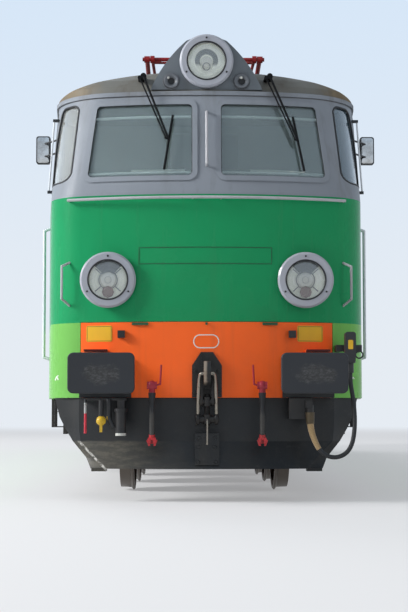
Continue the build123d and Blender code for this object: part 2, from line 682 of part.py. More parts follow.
def wiper(side):
    """A motor boss on the roof edge, two arms and the blade."""
    lean = SCREEN_RAKE / (EAVE_Z - WAIST_Z)
    pivot_x, tip_x, low_x, high_x = WIPERS[side]
    def before(x, z, off):
        return (x, face_y_at(x) + lean * (z - WAIST_Z) - off, z)
    pivot_z, tip_z = RAIL + 3722, RAIL + 3125
    pivot, tip = before(pivot_x, pivot_z, 66), before(tip_x, tip_z, 58)
    second = (pivot_x - 34, pivot[1], pivot_z - 14)
    arms = rod(pivot, tip, 10) + rod(second, (tip[0] - 26, tip[1], tip_z + 14), 7)
    arms = arms + rod((tip[0] - 34, tip[1], tip_z + 14), (tip[0] + 8, tip[1], tip_z - 4), 10)
    boss = rod((pivot_x, pivot[1] - 12, pivot_z), (pivot_x, FAIRING_Y + 250, pivot_z), 26)
    boss = boss + rod((second[0], pivot[1] - 12, second[2]), (second[0], FAIRING_Y + 250, second[2]), 17)
    boss = boss - cab_roof_solid(-FIT)
    blade_low, blade_high = RAIL + 2850, RAIL + 3350
    blade = rod(before(low_x, blade_low, 30), before(high_x, blade_high, 30), 11)
    link = rod(tip, before(tip_x, tip_z, 30), 9)
    return arms + boss + blade + link


def mirror_unit():
    """A rear-view mirror on two arms beside the cab window."""
    x, y, z = 1512, -8010, RAIL + 3178
    case = flat_xz([(x - 66, z - 130), (x + 66, z - 130), (x + 66, z + 130), (x - 66, z + 130)], [22] * 4, (y - 28, y + 22))
    post = (1365, CAB_WINDOW_Y[0] - 45)
    arm = rod((x, y, z - 60), (*post, z - 60), 9) + rod((x, y, z + 60), (*post, z + 60), 9)
    return case + (arm - window_solid(-FIT))


def cab_side_rail():
    """The bent grab rail that follows the cab's side, just behind the corner window."""
    y = CAB_WINDOW_Y[0] - 82
    low_z, high_z = RAIL + 2748, RAIL + 3409
    low, high = (side_x_at(y, low_z) + 30, y, low_z), (side_x_at(y, high_z) + 30, y, high_z)
    rail = bar_along([(low[0] - 100, y, low_z), low, high, (high[0] - 100, y, high_z)], 8)
    for x, _, z in (low, high):
        rail = rail + block((x - 45, x + 12), (y - 16, y + 16), (z - 12, z + 12))
    return rail - window_solid(-FIT)


def door_rails():
    rails = []
    for y in (DOOR_Y[0] - 85, DOOR_Y[1] + 85):
        x = BODY_HALF + 55
        rail = bar_along([(BODY_HALF + FIT, y, RAIL + 1250), (x, y, RAIL + 1270), (x, y, RAIL + 2500),
                          (BODY_HALF + FIT, y, RAIL + 2520)], 15)
        rails.append(rail - block((0, BODY_HALF + FIT), (y - 40, y + 40), (RAIL, RAIL + 3000)))
    return rails


def door_step():
    """Flat stiles with two thin treads, hung from the sill under a cab door."""
    y0 = (DOOR_Y[0] + DOOR_Y[1] - STEP_WIDTH) / 2
    y1 = y0 + STEP_WIDTH
    top = SOLE_Z - FIT
    inner, outer = (1346, 1382), (1468, BODY_HALF - 4)
    step = block((inner[0], outer[1]), (y0, y1), (top - 12, top))
    for y in (y0, y1 - 10):
        step = step + block(inner, (y, y + 10), (RAIL + 526, top)) + block(outer, (y, y + 10), (RAIL + 592, top))
    step = step + block((inner[0], outer[1]), (y0, y1), (RAIL + 740, RAIL + 748))
    step = step + block((inner[0], outer[1]), (y0, y1), (RAIL + 592, RAIL + 600))
    step = step + block((inner[0], inner[1]), (y0, y1), (RAIL + 526, RAIL + 534))
    hanger = block((inner[0], BODY_HALF - WALL - FIT), (y0, y1), (top - 5, SILL_Z - FIT))
    return step + hanger


# Buffers and draw gear

def buffer_head(x):
    width, height, thick = BUFFER_HEAD
    face_y = -LENGTH_OVER_BUFFERS / 2
    points = [(x - width / 2, BUFFER_Z - height / 2), (x + width / 2, BUFFER_Z - height / 2),
              (x + width / 2, BUFFER_Z + height / 2), (x - width / 2, BUFFER_Z + height / 2)]
    plate = flat_xz(points, [BUFFER_CORNER_R] * 4, (face_y, face_y + thick))
    plate = fillet(plate.faces().sort_by(Axis.Y)[0].edges(), 10)
    plunger = rod((x, face_y + thick - 5, BUFFER_Z), (x, face_y + 300, BUFFER_Z), 95)
    ribs = flat_yz([(face_y + thick - 2, BUFFER_Z - 150), (face_y + thick - 2, BUFFER_Z + 150), (face_y + 130, BUFFER_Z + 60),
                    (face_y + 130, BUFFER_Z - 60)], [0] * 4, (x - 12, x + 12))
    return plate + plunger + ribs


def buffer_casing(x):
    """The socket that the plunger slides in, with its square foot shaped to the curved beam."""
    face_y = -LENGTH_OVER_BUFFERS / 2
    half = 224
    foot_y = face_y_at(abs(x) - half) - 30
    socket = ring((x, face_y + 170, BUFFER_Z), (x, foot_y + 5, BUFFER_Z), 128, 96)
    collar = ring((x, face_y + 170, BUFFER_Z), (x, face_y + 215, BUFFER_Z), 142, 96)
    foot = block((x - half, x + half), (foot_y, NOSE_Y + 300), (SOLE_Z + FIT, BUFFER_Z + 150))
    foot = foot - rod((x, foot_y - 1, BUFFER_Z), (x, foot_y + 30, BUFFER_Z), 96)
    return socket + collar + (foot - skin())


def draw_hook():
    """The chamfered guard plate with the hook that comes through it."""
    z0, z1 = SOLE_Z + 2, RAIL + 1255
    plate = flat_xz([(-128, z0), (128, z0), (128, z1 - 115), (52, z1), (-52, z1), (-128, z1 - 115)], [0] * 6,
                    (NOSE_Y - 22, NOSE_Y + 20)) - skin()
    y = NOSE_Y
    shank = flat_yz([(y - 10, HOOK_Z - 45), (y - 150, HOOK_Z - 55), (y - 250, HOOK_Z - 75), (y - 330, HOOK_Z - 30),
                     (y - 345, HOOK_Z + 60), (y - 300, HOOK_Z + 140), (y - 262, HOOK_Z + 130), (y - 265, HOOK_Z + 50),
                     (y - 215, HOOK_Z + 12), (y - 150, HOOK_Z + 55), (y - 10, HOOK_Z + 55)],
                    [5, 20, 30, 40, 60, 12, 10, 20, 30, 10, 5], (-30, 30))
    shank = shank - rod((-40, y - 120, HOOK_Z), (40, y - 120, HOOK_Z), 24 + PIN_GAP)
    collar = block((-75, 75), (y - 45, y - 15), (HOOK_Z - 90, HOOK_Z + 95))
    return plate + shank + collar


def screw_coupling():
    """Links, trunnions, screw and shackle hanging from the hook's pin."""
    y, z = NOSE_Y - 120, HOOK_Z
    pin = rod((-62, y, z), (62, y, z), 24)
    low = z - 200
    unit = pin
    for side in (-1, 1):
        unit = unit + flat_yz([(y - 26, z + 20), (y + 26, z + 20), (y + 20, low - 25), (y - 20, low - 25)], [14] * 4,
                              sorted((side * 36, side * 60)))
    unit = unit + rod((-66, y, low), (66, y, low), 30) + rod((0, y, low + 60), (0, y, low - 225), 19)
    nut = low - 185
    unit = unit + rod((-58, y, nut), (58, y, nut), 28)
    unit = unit + bar_along([(-50, y, nut), (-46, y - 6, nut - 125), (-18, y - 6, nut - 165), (18, y - 6, nut - 165),
                             (46, y - 6, nut - 125), (50, y, nut)], 14)
    handle = bar_along([(0, y, low - 95), (0, y - 60, low - 105), (0, y - 66, low - 270)], 10)
    return unit + handle + Pos(0, y - 66, low - 280) * Sphere(22)


# The plough's sections: height above the rail, half width of its front, half width and setback of its wings, lean
PLOUGH = [(862, 1110, 1330, 150, 0), (700, 1110, 1290, 145, 0), (600, 1108, 1238, 130, 0), (490, 1096, 1168, 85, 5),
          (350, 953, 1043, 65, 47), (256, 858, 1000, 60, 75)]
PLOUGH_BOW = 165


def plough_section(row, inset):
    height, front, wing, sweep_back, lean = row
    y = NOSE_Y + 22 - lean + inset
    near, far = front - 0.4 * inset, wing - 0.7 * inset
    edge_y = y + PLOUGH_BOW * (near / PLOUGH[0][1]) ** 2
    wing_y = edge_y + sweep_back
    half = [Vector(x, py, RAIL + height) for x, py in ((near, edge_y), (far, wing_y), (far, wing_y + 160))]
    left = [Vector(-v.X, v.Y, v.Z) for v in half]
    edges = [ThreePointArc(left[0], Vector(0, y, RAIL + height), half[0]), Line(half[0], half[1]),
             Line(half[1], half[2]), Line(half[2], left[2]), Line(left[2], left[1]), Line(left[1], left[0])]
    return make_face(Wire(edges))


def plough():
    """A folded sheet under the buffer beam, upright above and leaning forward below, with swept wings."""
    outer = loft([plough_section(row, 0) for row in PLOUGH], ruled=True)
    taller = [(PLOUGH[0][0] + 10,) + PLOUGH[0][1:]] + PLOUGH[1:-1] + [(PLOUGH[-1][0] - 10,) + PLOUGH[-1][1:]]
    inner = loft([plough_section(row, 14) for row in taller], ruled=True)
    sheet = outer - inner
    plate = block((-104, 104), (NOSE_Y - 62, NOSE_Y + 36), (RAIL + 290, RAIL + 560)) - outer
    for side in (-1, 1):
        x = side * 500
        stay = block(sorted((x - 12, x + 12)), (NOSE_Y + 70, NOSE_Y + 340), (RAIL + 600, SOLE_Z - FIT))
        sheet = sheet + stay
        guard = block(sorted((side * 862, side * 992)), (NOSE_Y + 55, NOSE_Y + 180), (RAIL + 234, RAIL + 262))
        sheet = sheet + guard
    flange = block((-1080, 1080), (NOSE_Y + 110, NOSE_Y + 340), (RAIL + 850, SOLE_Z - FIT))
    return sheet + (flange & nose_solid(60, 0, SOLE_Z - 40, SOLE_Z)) + plate


# Pipes and cables at the front

COCK_X = 468
COCK_Z = RAIL + 967
COCK_Y = NOSE_Y - 150
HOSE_D = 42
CABLE_D = 38

# Along a brake hose from its cock; along the jumper cable, with heights above the rail
HOSE_ROUTE = [(0, 0, -62.5), (0, 0, -135), (0, -16, -232), (0, 0, -328), (0, 18, -416)]
CABLE_ROUTE = [(878, -9080, 739), (878, -9080, 655), (891, -9096, 560), (925, -9118, 471), (966, -9132, 400),
               (1037, -9140, 359), (1119, -9142, 359), (1190, -9138, 400), (1231, -9130, 471), (1250, -9121, 560),
               (1257, -9111, 655), (1255, -9102, 750), (1247, -9093, 845), (1234, -9084, 930), (1224, -9080, 1005),
               (1224, -9080, 1075)]


def brake_cock(side):
    """A pipe stub, the cock with its handle and an outlet for the hose."""
    x = side * COCK_X
    stub = rod((x, NOSE_Y + 80, COCK_Z), (x, COCK_Y + 20, COCK_Z), 24) - skin()
    body = rod((x - 42, COCK_Y, COCK_Z), (x + 42, COCK_Y, COCK_Z), 32) + Pos(x, COCK_Y, COCK_Z) * Sphere(40)
    outlet = rod((x, COCK_Y, COCK_Z), (x, COCK_Y, COCK_Z - 62), 27)
    inner = -side
    lever = bar_along([(x + inner * 30, COCK_Y, COCK_Z), (x + inner * 70, COCK_Y, COCK_Z + 10),
                       (x + inner * 78, COCK_Y, COCK_Z + 175)], 8)
    return stub + body + outlet + lever


def route_tube(points, diameter):
    """A tube along straight runs joined by arcs as large as the runs allow."""
    points = [Vector(*p) for p in points]
    radii = []
    for a, b, c in zip(points, points[1:], points[2:]):
        turn = math.radians((b - a).get_angle(c - b))
        radii.append(0.45 * min((b - a).length, (c - b).length) / math.tan(turn / 2))
    path = FilletPolyline(*points, radius=radii)
    tube = sweep(Plane(origin=path @ 0, z_dir=path % 0) * Circle(diameter / 2), path=path)
    print("route", round(path.length), "mm, smallest bend", round(min(radii)), "mm")
    return tube


def brake_hose(side):
    return route_tube([(side * COCK_X + x, COCK_Y + y, COCK_Z + z) for x, y, z in HOSE_ROUTE], HOSE_D)


def hose_head(side):
    """The coupling head on the hose's end, hanging beside its stowing hook."""
    before, end = [Vector(side * COCK_X + dx, COCK_Y + dy, COCK_Z + dz) for dx, dy, dz in HOSE_ROUTE[-2:]]
    along = (end - before).normalized()
    sleeve = rod(tuple(end + along * FIT), tuple(end + along * 45), 26)
    x, y, z = tuple(end)
    claw = flat_yz([(y - 26, z - 78), (y + 42, z - 78), (y + 50, z - 52), (y + 20, z - 26), (y - 20, z - 26)],
                   [10] * 5, (x - 34, x + 34))
    claw = claw - block((x - 11, x + 11), (y - 60, y + 14), (z - 90, z - 44))
    for hand in (-1, 1):
        claw = claw + flat_xz([(x + hand * 12, z - 96), (x + hand * 30, z - 96), (x + hand * 46, z - 50),
                               (x + hand * 30, z - 34)], [4] * 4, (y - 20, y + 12))
    return sleeve + claw


SOCKET_X = (704, 902)
PLUG_X = CABLE_ROUTE[-1][0]


def jumper_box():
    """The cable box under one buffer, with the gland that the jumper cable leaves."""
    box = block(SOCKET_X, (NOSE_Y - 20, NOSE_Y + 260), (RAIL + 681, RAIL + 858))
    gland_x, gland_y, gland_z = CABLE_ROUTE[0]
    box = box + block((gland_x - 36, gland_x + 20), (gland_y - 34, NOSE_Y + 20), (RAIL + 776, RAIL + 840))
    box = box + rod((gland_x, gland_y, RAIL + gland_z + FIT), (gland_x, gland_y, RAIL + 800), 30)
    return box - plough_envelope()


def plough_envelope():
    return loft([plough_section(row, -FIT) for row in PLOUGH], ruled=True)


def plug_holder():
    """A bracket on the nose corner with a dummy socket for the parked plug."""
    z = (RAIL + 1262, RAIL + 1320)
    holder = block((1118, 1340), (NOSE_Y + 40, NOSE_Y + 75), z)
    holder = holder + block((PLUG_X - 40, PLUG_X + 40), (NOSE_Y - 34, NOSE_Y + 45), z)
    for x in (1118, 1300):
        holder = holder + block((x, x + 40), (NOSE_Y + 40, NOSE_Y + 420), z)
    ring_x, ring_z = 1318, RAIL + 1236
    holder = holder + Pos(ring_x, NOSE_Y + 57, ring_z) * (Rot(90, 0, 0) * Torus(31, 6))
    return holder - skin()


def heating_gear():
    """The heating coupler with its cap, two small cocks and their handles, under the other buffer."""
    y = NOSE_Y - 40
    rail = block((-1072, -690), (y - 10, NOSE_Y + 260), (RAIL + 838, RAIL + 858)) - plough_envelope()
    coupler = rod((-735, y - 30, RAIL + 760), (-735, y - 30, RAIL + 540), 46)
    coupler = coupler + rod((-735, y - 30, RAIL + 770), (-735, y - 30, RAIL + 745), 56)
    coupler = coupler + (block((-765, -705), (y - 30, NOSE_Y + 200), (RAIL + 700, RAIL + 845)) - plough_envelope())
    red_arm = bar_along([(-1040, y, RAIL + 845), (-1036, y - 40, RAIL + 800), (-1036, y - 45, RAIL + 560)], 11)
    yellow = rod((-903, y - 26, RAIL + 845), (-903, y - 26, RAIL + 650), 20)
    yellow = yellow + Pos(-903, y - 26, RAIL + 668) * Sphere(42)
    yellow = yellow + block((-914, -892), (y - 56, y + 4), (RAIL + 570, RAIL + 660))
    pipe = bar_along([(-840, y - 10, RAIL + 850), (-835, y - 20, RAIL + 690), (-800, y - 30, RAIL + 610)], 22)
    return rail + coupler + red_arm + yellow + pipe


def jumper_plug():
    """The plug parked in the holder, with its neck down to the cable."""
    x, y = PLUG_X, NOSE_Y - 80
    neck = rod((x, y, RAIL + 1075 + FIT), (x, y, RAIL + 1190), 30)
    body = flat_xz([(x - 40, RAIL + 1170), (x + 40, RAIL + 1170), (x + 46, RAIL + 1230), (x + 46, RAIL + 1425),
                    (x - 46, RAIL + 1425), (x - 46, RAIL + 1230)], [6, 6, 2, 24, 24, 2], (y - 46, NOSE_Y - 34 - FIT))
    return neck + body + rod((x, y, RAIL + 1160), (x, y, RAIL + 1185), 46)


def multiple_sockets():
    """A small control socket over each buffer."""
    x, z = 739, RAIL + 1412
    return block((x - 31, x + 31), (face_y_at(x) - 50, face_y_at(x) + 60), (z - 31, z + 31)) - skin()


# Running gear

def wheelset(y):
    """Two flanged wheels pressed on one axle."""
    inner = BACK_TO_BACK / 2
    outer = inner + WHEEL_WIDTH
    rim = 60
    hub = AXLE_R + 75
    wheel = [(AXLE_R - 5, inner - 15), (hub, inner - 15), (hub, inner + 45), (TREAD_R - rim, inner + 60),
             (TREAD_R - rim, inner), (FLANGE_R - 12, inner), (FLANGE_R, inner + 16), (TREAD_R + 2, inner + 36),
             (TREAD_R - 3, outer), (TREAD_R - rim, outer), (TREAD_R - rim, inner + 90), (hub, inner + 100),
             (hub, outer + 15), (AXLE_R - 5, outer + 15)]
    wheel = revolve(make_face(Polyline(*[(x, r, 0) for r, x in wheel], close=True)), Axis.X)
    axle = rod((-1075, 0, 0), (1075, 0, 0), JOURNAL_R) + rod((-outer - 10, 0, 0), (outer + 10, 0, 0), AXLE_R)
    return Pos(0, y, AXLE_Z) * (axle + wheel + mirrored(wheel))


def bogie_frame(y_mid):
    """Side beams, transoms, end beams and centre beams with the pivot seat, and the hung brake blocks."""
    frame = None
    for side in (-1, 1):
        outline = [(-2560, BEAM_Z[0] + 90), (-2240, BEAM_Z[0]), (-1330, BEAM_Z[0]), (-1180, BEAM_Z[0] - 60), (-570, BEAM_Z[0] - 60),
                   (-420, BEAM_Z[0]), (420, BEAM_Z[0]), (570, BEAM_Z[0] - 60), (1180, BEAM_Z[0] - 60), (1330, BEAM_Z[0]),
                   (2240, BEAM_Z[0]), (2560, BEAM_Z[0] + 90), (2560, BEAM_Z[1]), (-2560, BEAM_Z[1])]
        beam = flat_yz(outline, [0] * 14, sorted((side * BEAM_X[0], side * BEAM_X[1])))
        for axle in (-AXLE_PITCH, 0, AXLE_PITCH):
            for hand in (-1, 1):
                guide = sorted((axle + hand * (BOX_HALF + FIT), axle + hand * (BOX_HALF + 38)))
                beam = beam + block(sorted((side * 960, side * 1080)), guide, (AXLE_Z - 40, BEAM_Z[0] + 10))
        frame = beam if frame is None else frame + beam
    for hand in (-1, 1):
        frame = frame + block((-BEAM_X[0] - 5, BEAM_X[0] + 5), sorted((hand * TRANSOM_Y[0], hand * TRANSOM_Y[1])), TRANSOM_Z)
        riser = block((-BEAM_X[1], BEAM_X[1]), sorted((hand * TRANSOM_Y[0], hand * TRANSOM_Y[1])), (BEAM_Z[1] - 5, TRANSOM_Z[1]))
        frame = frame + (riser - block((-BEAM_X[0], BEAM_X[0]), (-3000, 3000), (0, 3000)))
        frame = frame + block((-BEAM_X[0] - 5, BEAM_X[0] + 5), sorted((hand * END_BEAM_Y[0], hand * END_BEAM_Y[1])), (BEAM_Z[0] + 60, BEAM_Z[1]))
    frame = frame + block((-250, 250), (-TRANSOM_Y[0] - 5, TRANSOM_Y[0] + 5), TRANSOM_Z)
    frame = frame - rod((0, 0, 0), (0, 0, 3000), KINGPIN_R + RUN_GAP)
    for axle in (-AXLE_PITCH, 0, AXLE_PITCH):
        for hand in (-1, 1):
            for side in (-1, 1):
                frame = frame + brake_block(axle, hand, side)
    return Pos(0, y_mid, 0) * frame


def brake_block(axle, hand, side):
    """One shoe beside the tread, on a hanger from the nearest cross beam."""
    reach = TREAD_R + BRAKE_GAP
    shoe = ring((side * 692, axle, AXLE_Z), (side * 812, axle, AXLE_Z), reach + 60, FLANGE_R + 2)
    shoe = shoe & block(sorted((side * 722, side * 812)), sorted((axle + hand * 300, axle + hand * 720)), (AXLE_Z - 150, AXLE_Z + 90))
    start = axle + hand * (reach + 30)
    outer_end = abs(axle + hand * 900) > AXLE_PITCH + 500
    top = BEAM_Z[0] + 65 if outer_end else TRANSOM_Z[0] + 5
    hanger = block(sorted((side * 740, side * 790)), sorted((start, start + hand * 42)), (AXLE_Z - 60, top))
    return shoe + hanger


SPRING_OFFSET = 245
SPRING_R = 68


def bogie_suspension(y_mid):
    """Axle boxes with side wings, and the coil springs that stand on them."""
    units = []
    for side in (-1, 1):
        for axle in (-AXLE_PITCH, 0, AXLE_PITCH):
            x = side * 1020
            box = block((x - 78, x + 78), (axle - BOX_HALF, axle + BOX_HALF), (AXLE_Z - 150, AXLE_Z + 140))
            wing_z = (AXLE_Z - 130, AXLE_Z - 95)
            box = box + block((x - 70, x + 70), (axle - 330, axle + 330), wing_z)
            box = box + rod((x, axle, AXLE_Z), (x + side * 95, axle, AXLE_Z), 108)
            box = box - rod((side * 930, axle, AXLE_Z), (side * 1080, axle, AXLE_Z), JOURNAL_R + RUN_GAP)
            for hand in (-1, 1):
                y = axle + hand * SPRING_OFFSET
                box = box + rod((x, y, wing_z[1] - 2), (x, y, BEAM_Z[0] - FIT), SPRING_R)
            units.append(Pos(0, y_mid, 0) * box)
    return units


def traction_motors(y_mid):
    """Axle-hung motors: round frame, bearing tube round the axle and the gear case."""
    motors = []
    for axle, hand in ((-AXLE_PITCH, 1), (0, 1), (AXLE_PITCH, -1)):
        y = axle + hand * MOTOR_OFFSET
        motor = rod((-440, y, AXLE_Z), (440, y, AXLE_Z), MOTOR_R)
        motor = motor + rod((-470, axle, AXLE_Z), (470, axle, AXLE_Z), 165)
        case = rod((470, axle, AXLE_Z), (600, axle, AXLE_Z), 400) + rod((440, y, AXLE_Z), (600, y, AXLE_Z), 190)
        motor = motor + case
        near, far = (TRANSOM_Y[0] + 20, TRANSOM_Y[0] + 110) if axle == 0 else (TRANSOM_Y[1] - 110, TRANSOM_Y[1] - 20)
        sign = 1 if y > 0 else -1
        motor = motor + block((-140, 140), sorted((sign * near, sign * far)), (AXLE_Z + 150, TRANSOM_Z[0] - FIT))
        motor = motor - rod((-700, axle, AXLE_Z), (700, axle, AXLE_Z), AXLE_R + RUN_GAP)
        motors.append(Pos(0, y_mid, 0) * motor)
    return motors


def underfloor_boxes():
    boxes = []
    for side in (-1, 1):
        for y in (-1180, 1180):
            box = block(sorted((side * 900, side * 1420)), (y - 1040, y + 1040), (RAIL + 440, SILL_Z - FIT))
            for x_seam in (-350, 350):
                box = box - block(sorted((side * 1414, side * 1430)), (y + x_seam - 6, y + x_seam + 6), (RAIL + 450, SILL_Z - 20))
            boxes.append(box)
        tank = rod((side * 480, -1900, RAIL + 960), (side * 480, 1900, RAIL + 960), 215)
        for y in (-1200, 1200):
            tank = tank + block(sorted((side * 440, side * 520)), (y - 40, y + 40), (RAIL + 1100, FLOOR_Z[0] - FIT))
        boxes.append(tank)
    return boxes


# Pantographs

def arm_point(share, rise=0.0):
    """A point on the front lower arm, from its shaft (0) to its elbow (1), across the width given later."""
    rest = math.radians(ARM_REST)
    y = -PANTO_SHAFT_Y - share * ARM_LENGTH * math.cos(rest)
    return y, PANTO_BASE_Z + share * ARM_LENGTH * math.sin(rest) + rise


def panto_lower():
    """Front lower frame: shaft, two arms, the elbow shaft and a cross tube."""
    (y0, z0), (y1, z1), (ym, zm) = arm_point(0), arm_point(1), arm_point(0.55)
    frame = rod((-ARM_X - 30, y0, z0), (ARM_X + 30, y0, z0), SHAFT_R)
    frame = frame + rod((-ARM_X - 48, y1, z1), (ARM_X + 48, y1, z1), SHAFT_R)
    for side in (-1, 1):
        frame = frame + rod((side * ARM_X, y0, z0), (side * ARM_X, y1, z1), ARM_R)
        frame = frame + rod((side * (ARM_X - 28), y1, z1), (side * (ARM_X + 30), y1, z1), BOSS_R - 4)
    return frame + rod((-ARM_X, ym, zm), (ARM_X, ym, zm), 15)


def panto_upper():
    """Front upper frame: bosses on the elbow shaft and the head shaft, two tubes, a cross tube and two diagonals."""
    y1, z1 = arm_point(1)
    rest = math.radians(ARM_REST)
    y2, z2 = -PANTO_SHAFT_Y, PANTO_BASE_Z + 2 * ARM_LENGTH * math.sin(rest)
    low_x = ARM_X - 55
    def bosses(x, y, z):
        return rod((x - 22, y, z), (x + 22, y, z), BOSS_R)
    frame = None
    for side in (-1, 1):
        tube = rod((side * low_x, y1, z1), (side * HEAD_ARM_X, y2, z2), 17)
        tube = tube + bosses(side * low_x, y1, z1) + bosses(side * HEAD_ARM_X, y2, z2)
        frame = tube if frame is None else frame + tube
    def between(x, share):
        return (x, y1 + share * (y2 - y1), z1 + share * (z2 - z1))
    cross_x = low_x + 0.12 * (HEAD_ARM_X - low_x)
    frame = frame + rod(between(-cross_x, 0.12), between(cross_x, 0.12), 13)
    for side in (-1, 1):
        frame = frame + rod(between(-side * (low_x - 5), 0.03), between(side * HEAD_ARM_X, 0.97), 10)
    for y, z in ((y1, z1), (y2, z2)):
        frame = frame - rod((-ARM_X, y, z), (ARM_X, y, z), SHAFT_R + PIN_GAP)
    return frame


def panto_head():
    """Collector head: two head shafts in end plates, and two bowed collectors with down-turned horns."""
    z = PANTO_BASE_Z + 2 * ARM_LENGTH * math.sin(math.radians(ARM_REST))
    head = None
    for side in (-1, 1):
        x = side * (HEAD_ARM_X + 45)
        plate = block(sorted((x - 8, x + 8)), (-PANTO_SHAFT_Y - 25, PANTO_SHAFT_Y + 25), (z - 25, z + 25))
        head = plate if head is None else head + plate
    for hand in (-1, 1):
        y = hand * PANTO_SHAFT_Y
        head = head + rod((-HEAD_ARM_X - 50, y, z), (HEAD_ARM_X + 50, y, z), SHAFT_R)
        bow = [(-HEAD_HALF, y, z - 55), (-HEAD_HALF + 150, y, z + 45), (-HEAD_HALF + 280, y, z + 75), (HEAD_HALF - 280, y, z + 75),
               (HEAD_HALF - 150, y, z + 45), (HEAD_HALF, y, z - 55)]
        head = head + bar_along(bow, 14)
        head = head + block((-600, 600), (y - 28, y + 28), (z + 72, z + 92))
        for side in (-1, 1):
            x = side * (HEAD_ARM_X + 45)
            head = head + rod((x, y, z + 10), (x, y, z + 80), 12)
    return head


def panto_base():
    """Roof frame with the bearings of the two lower shafts."""
    top = PANTO_BASE_Z - 45
    frame = None
    for side in (-1, 1):
        rail = block(sorted((side * 430, side * 500)), (-620, 620), (top - 60, top))
        frame = rail if frame is None else frame + rail
    for hand in (-1, 1):
        frame = frame + block((-500, 500), sorted((hand * 560, hand * 620)), (top - 60, top))
        y = hand * PANTO_SHAFT_Y
        for side in (-1, 1):
            frame = frame + block(sorted((side * 440, side * 490)), (y - 40, y + 40), (top - 5, PANTO_BASE_Z + 40))
        frame = frame - rod((-ARM_X, y, PANTO_BASE_Z), (ARM_X, y, PANTO_BASE_Z), SHAFT_R + PIN_GAP)
    return frame


def insulator(x, y, foot_z, top_z, radius=58):
    """A ribbed post insulator."""
    ribs = 3
    tall = top_z - foot_z
    step = tall / ribs
    core = radius * 0.55
    points = [(0, 0), (radius * 0.9, 0)]
    for i in range(ribs):
        points += [(core, (i + 0.35) * step), (radius, (i + 0.8) * step)]
    points += [(core, tall), (0, tall)]
    face = make_face(Polyline(*[(r, 0, z) for r, z in points], close=True))
    post = Pos(x, y, foot_z) * revolve(face, Axis.Z)
    post = post + rod((x, y, foot_z - 70), (x, y, foot_z + 5), radius * 0.9)
    return post - roof_prism((y - 200, y + 200), -FIT, EAVE_Z)


def roof_line_gear():
    """The two pantograph bases and the conductor that joins them along the roof."""
    bases = [Pos(0, s * PANTO_Y, 0) * panto_base() for s in (-1, 1)]
    z = RAIL + 4190
    line = bar_along([(760, -PANTO_Y + 500, z), (760, PANTO_Y - 500, z)], 14)
    for s in (-1, 1):
        line = line + bar_along([(760, s * (PANTO_Y - 500), z), (500 - 10, s * (PANTO_Y - 560), z + 55)], 10)
    return [bases[0] + bases[1] + line]


def insulators():
    posts = []
    top = PANTO_BASE_Z - 105 - FIT
    for s in (-1, 1):
        for x in (-465, 465):
            for y in (-540, 540):
                posts.append(insulator(x, s * PANTO_Y + y, roof_height(abs(x) - 60), top))
    for y in (-3300, -2300, 0, 2300, 3300):
        posts.append(insulator(760, y, roof_height(700), RAIL + 4190 - 14 - FIT, 46))
    return posts


def louvre_panels():
    return [p for y in bay_positions("L") for p in pair(louvre_panel(y))]


def all_glass():
    return at_both_ends(cab_glass()) + [p for pane in bay_windows() for p in pair(pane)]


def side_handrails():
    rails = [cab_side_rail()] + door_rails()
    return at_both_ends([p for rail in rails for p in pair(rail)])


def end_connections():
    cocks = [brake_cock(-1), brake_cock(1)]
    return at_both_ends(cocks + [jumper_box(), plug_holder(), heating_gear()] + pair(multiple_sockets()))


def shifted(make, y):
    return lambda: [Pos(0, y, 0) * make()]


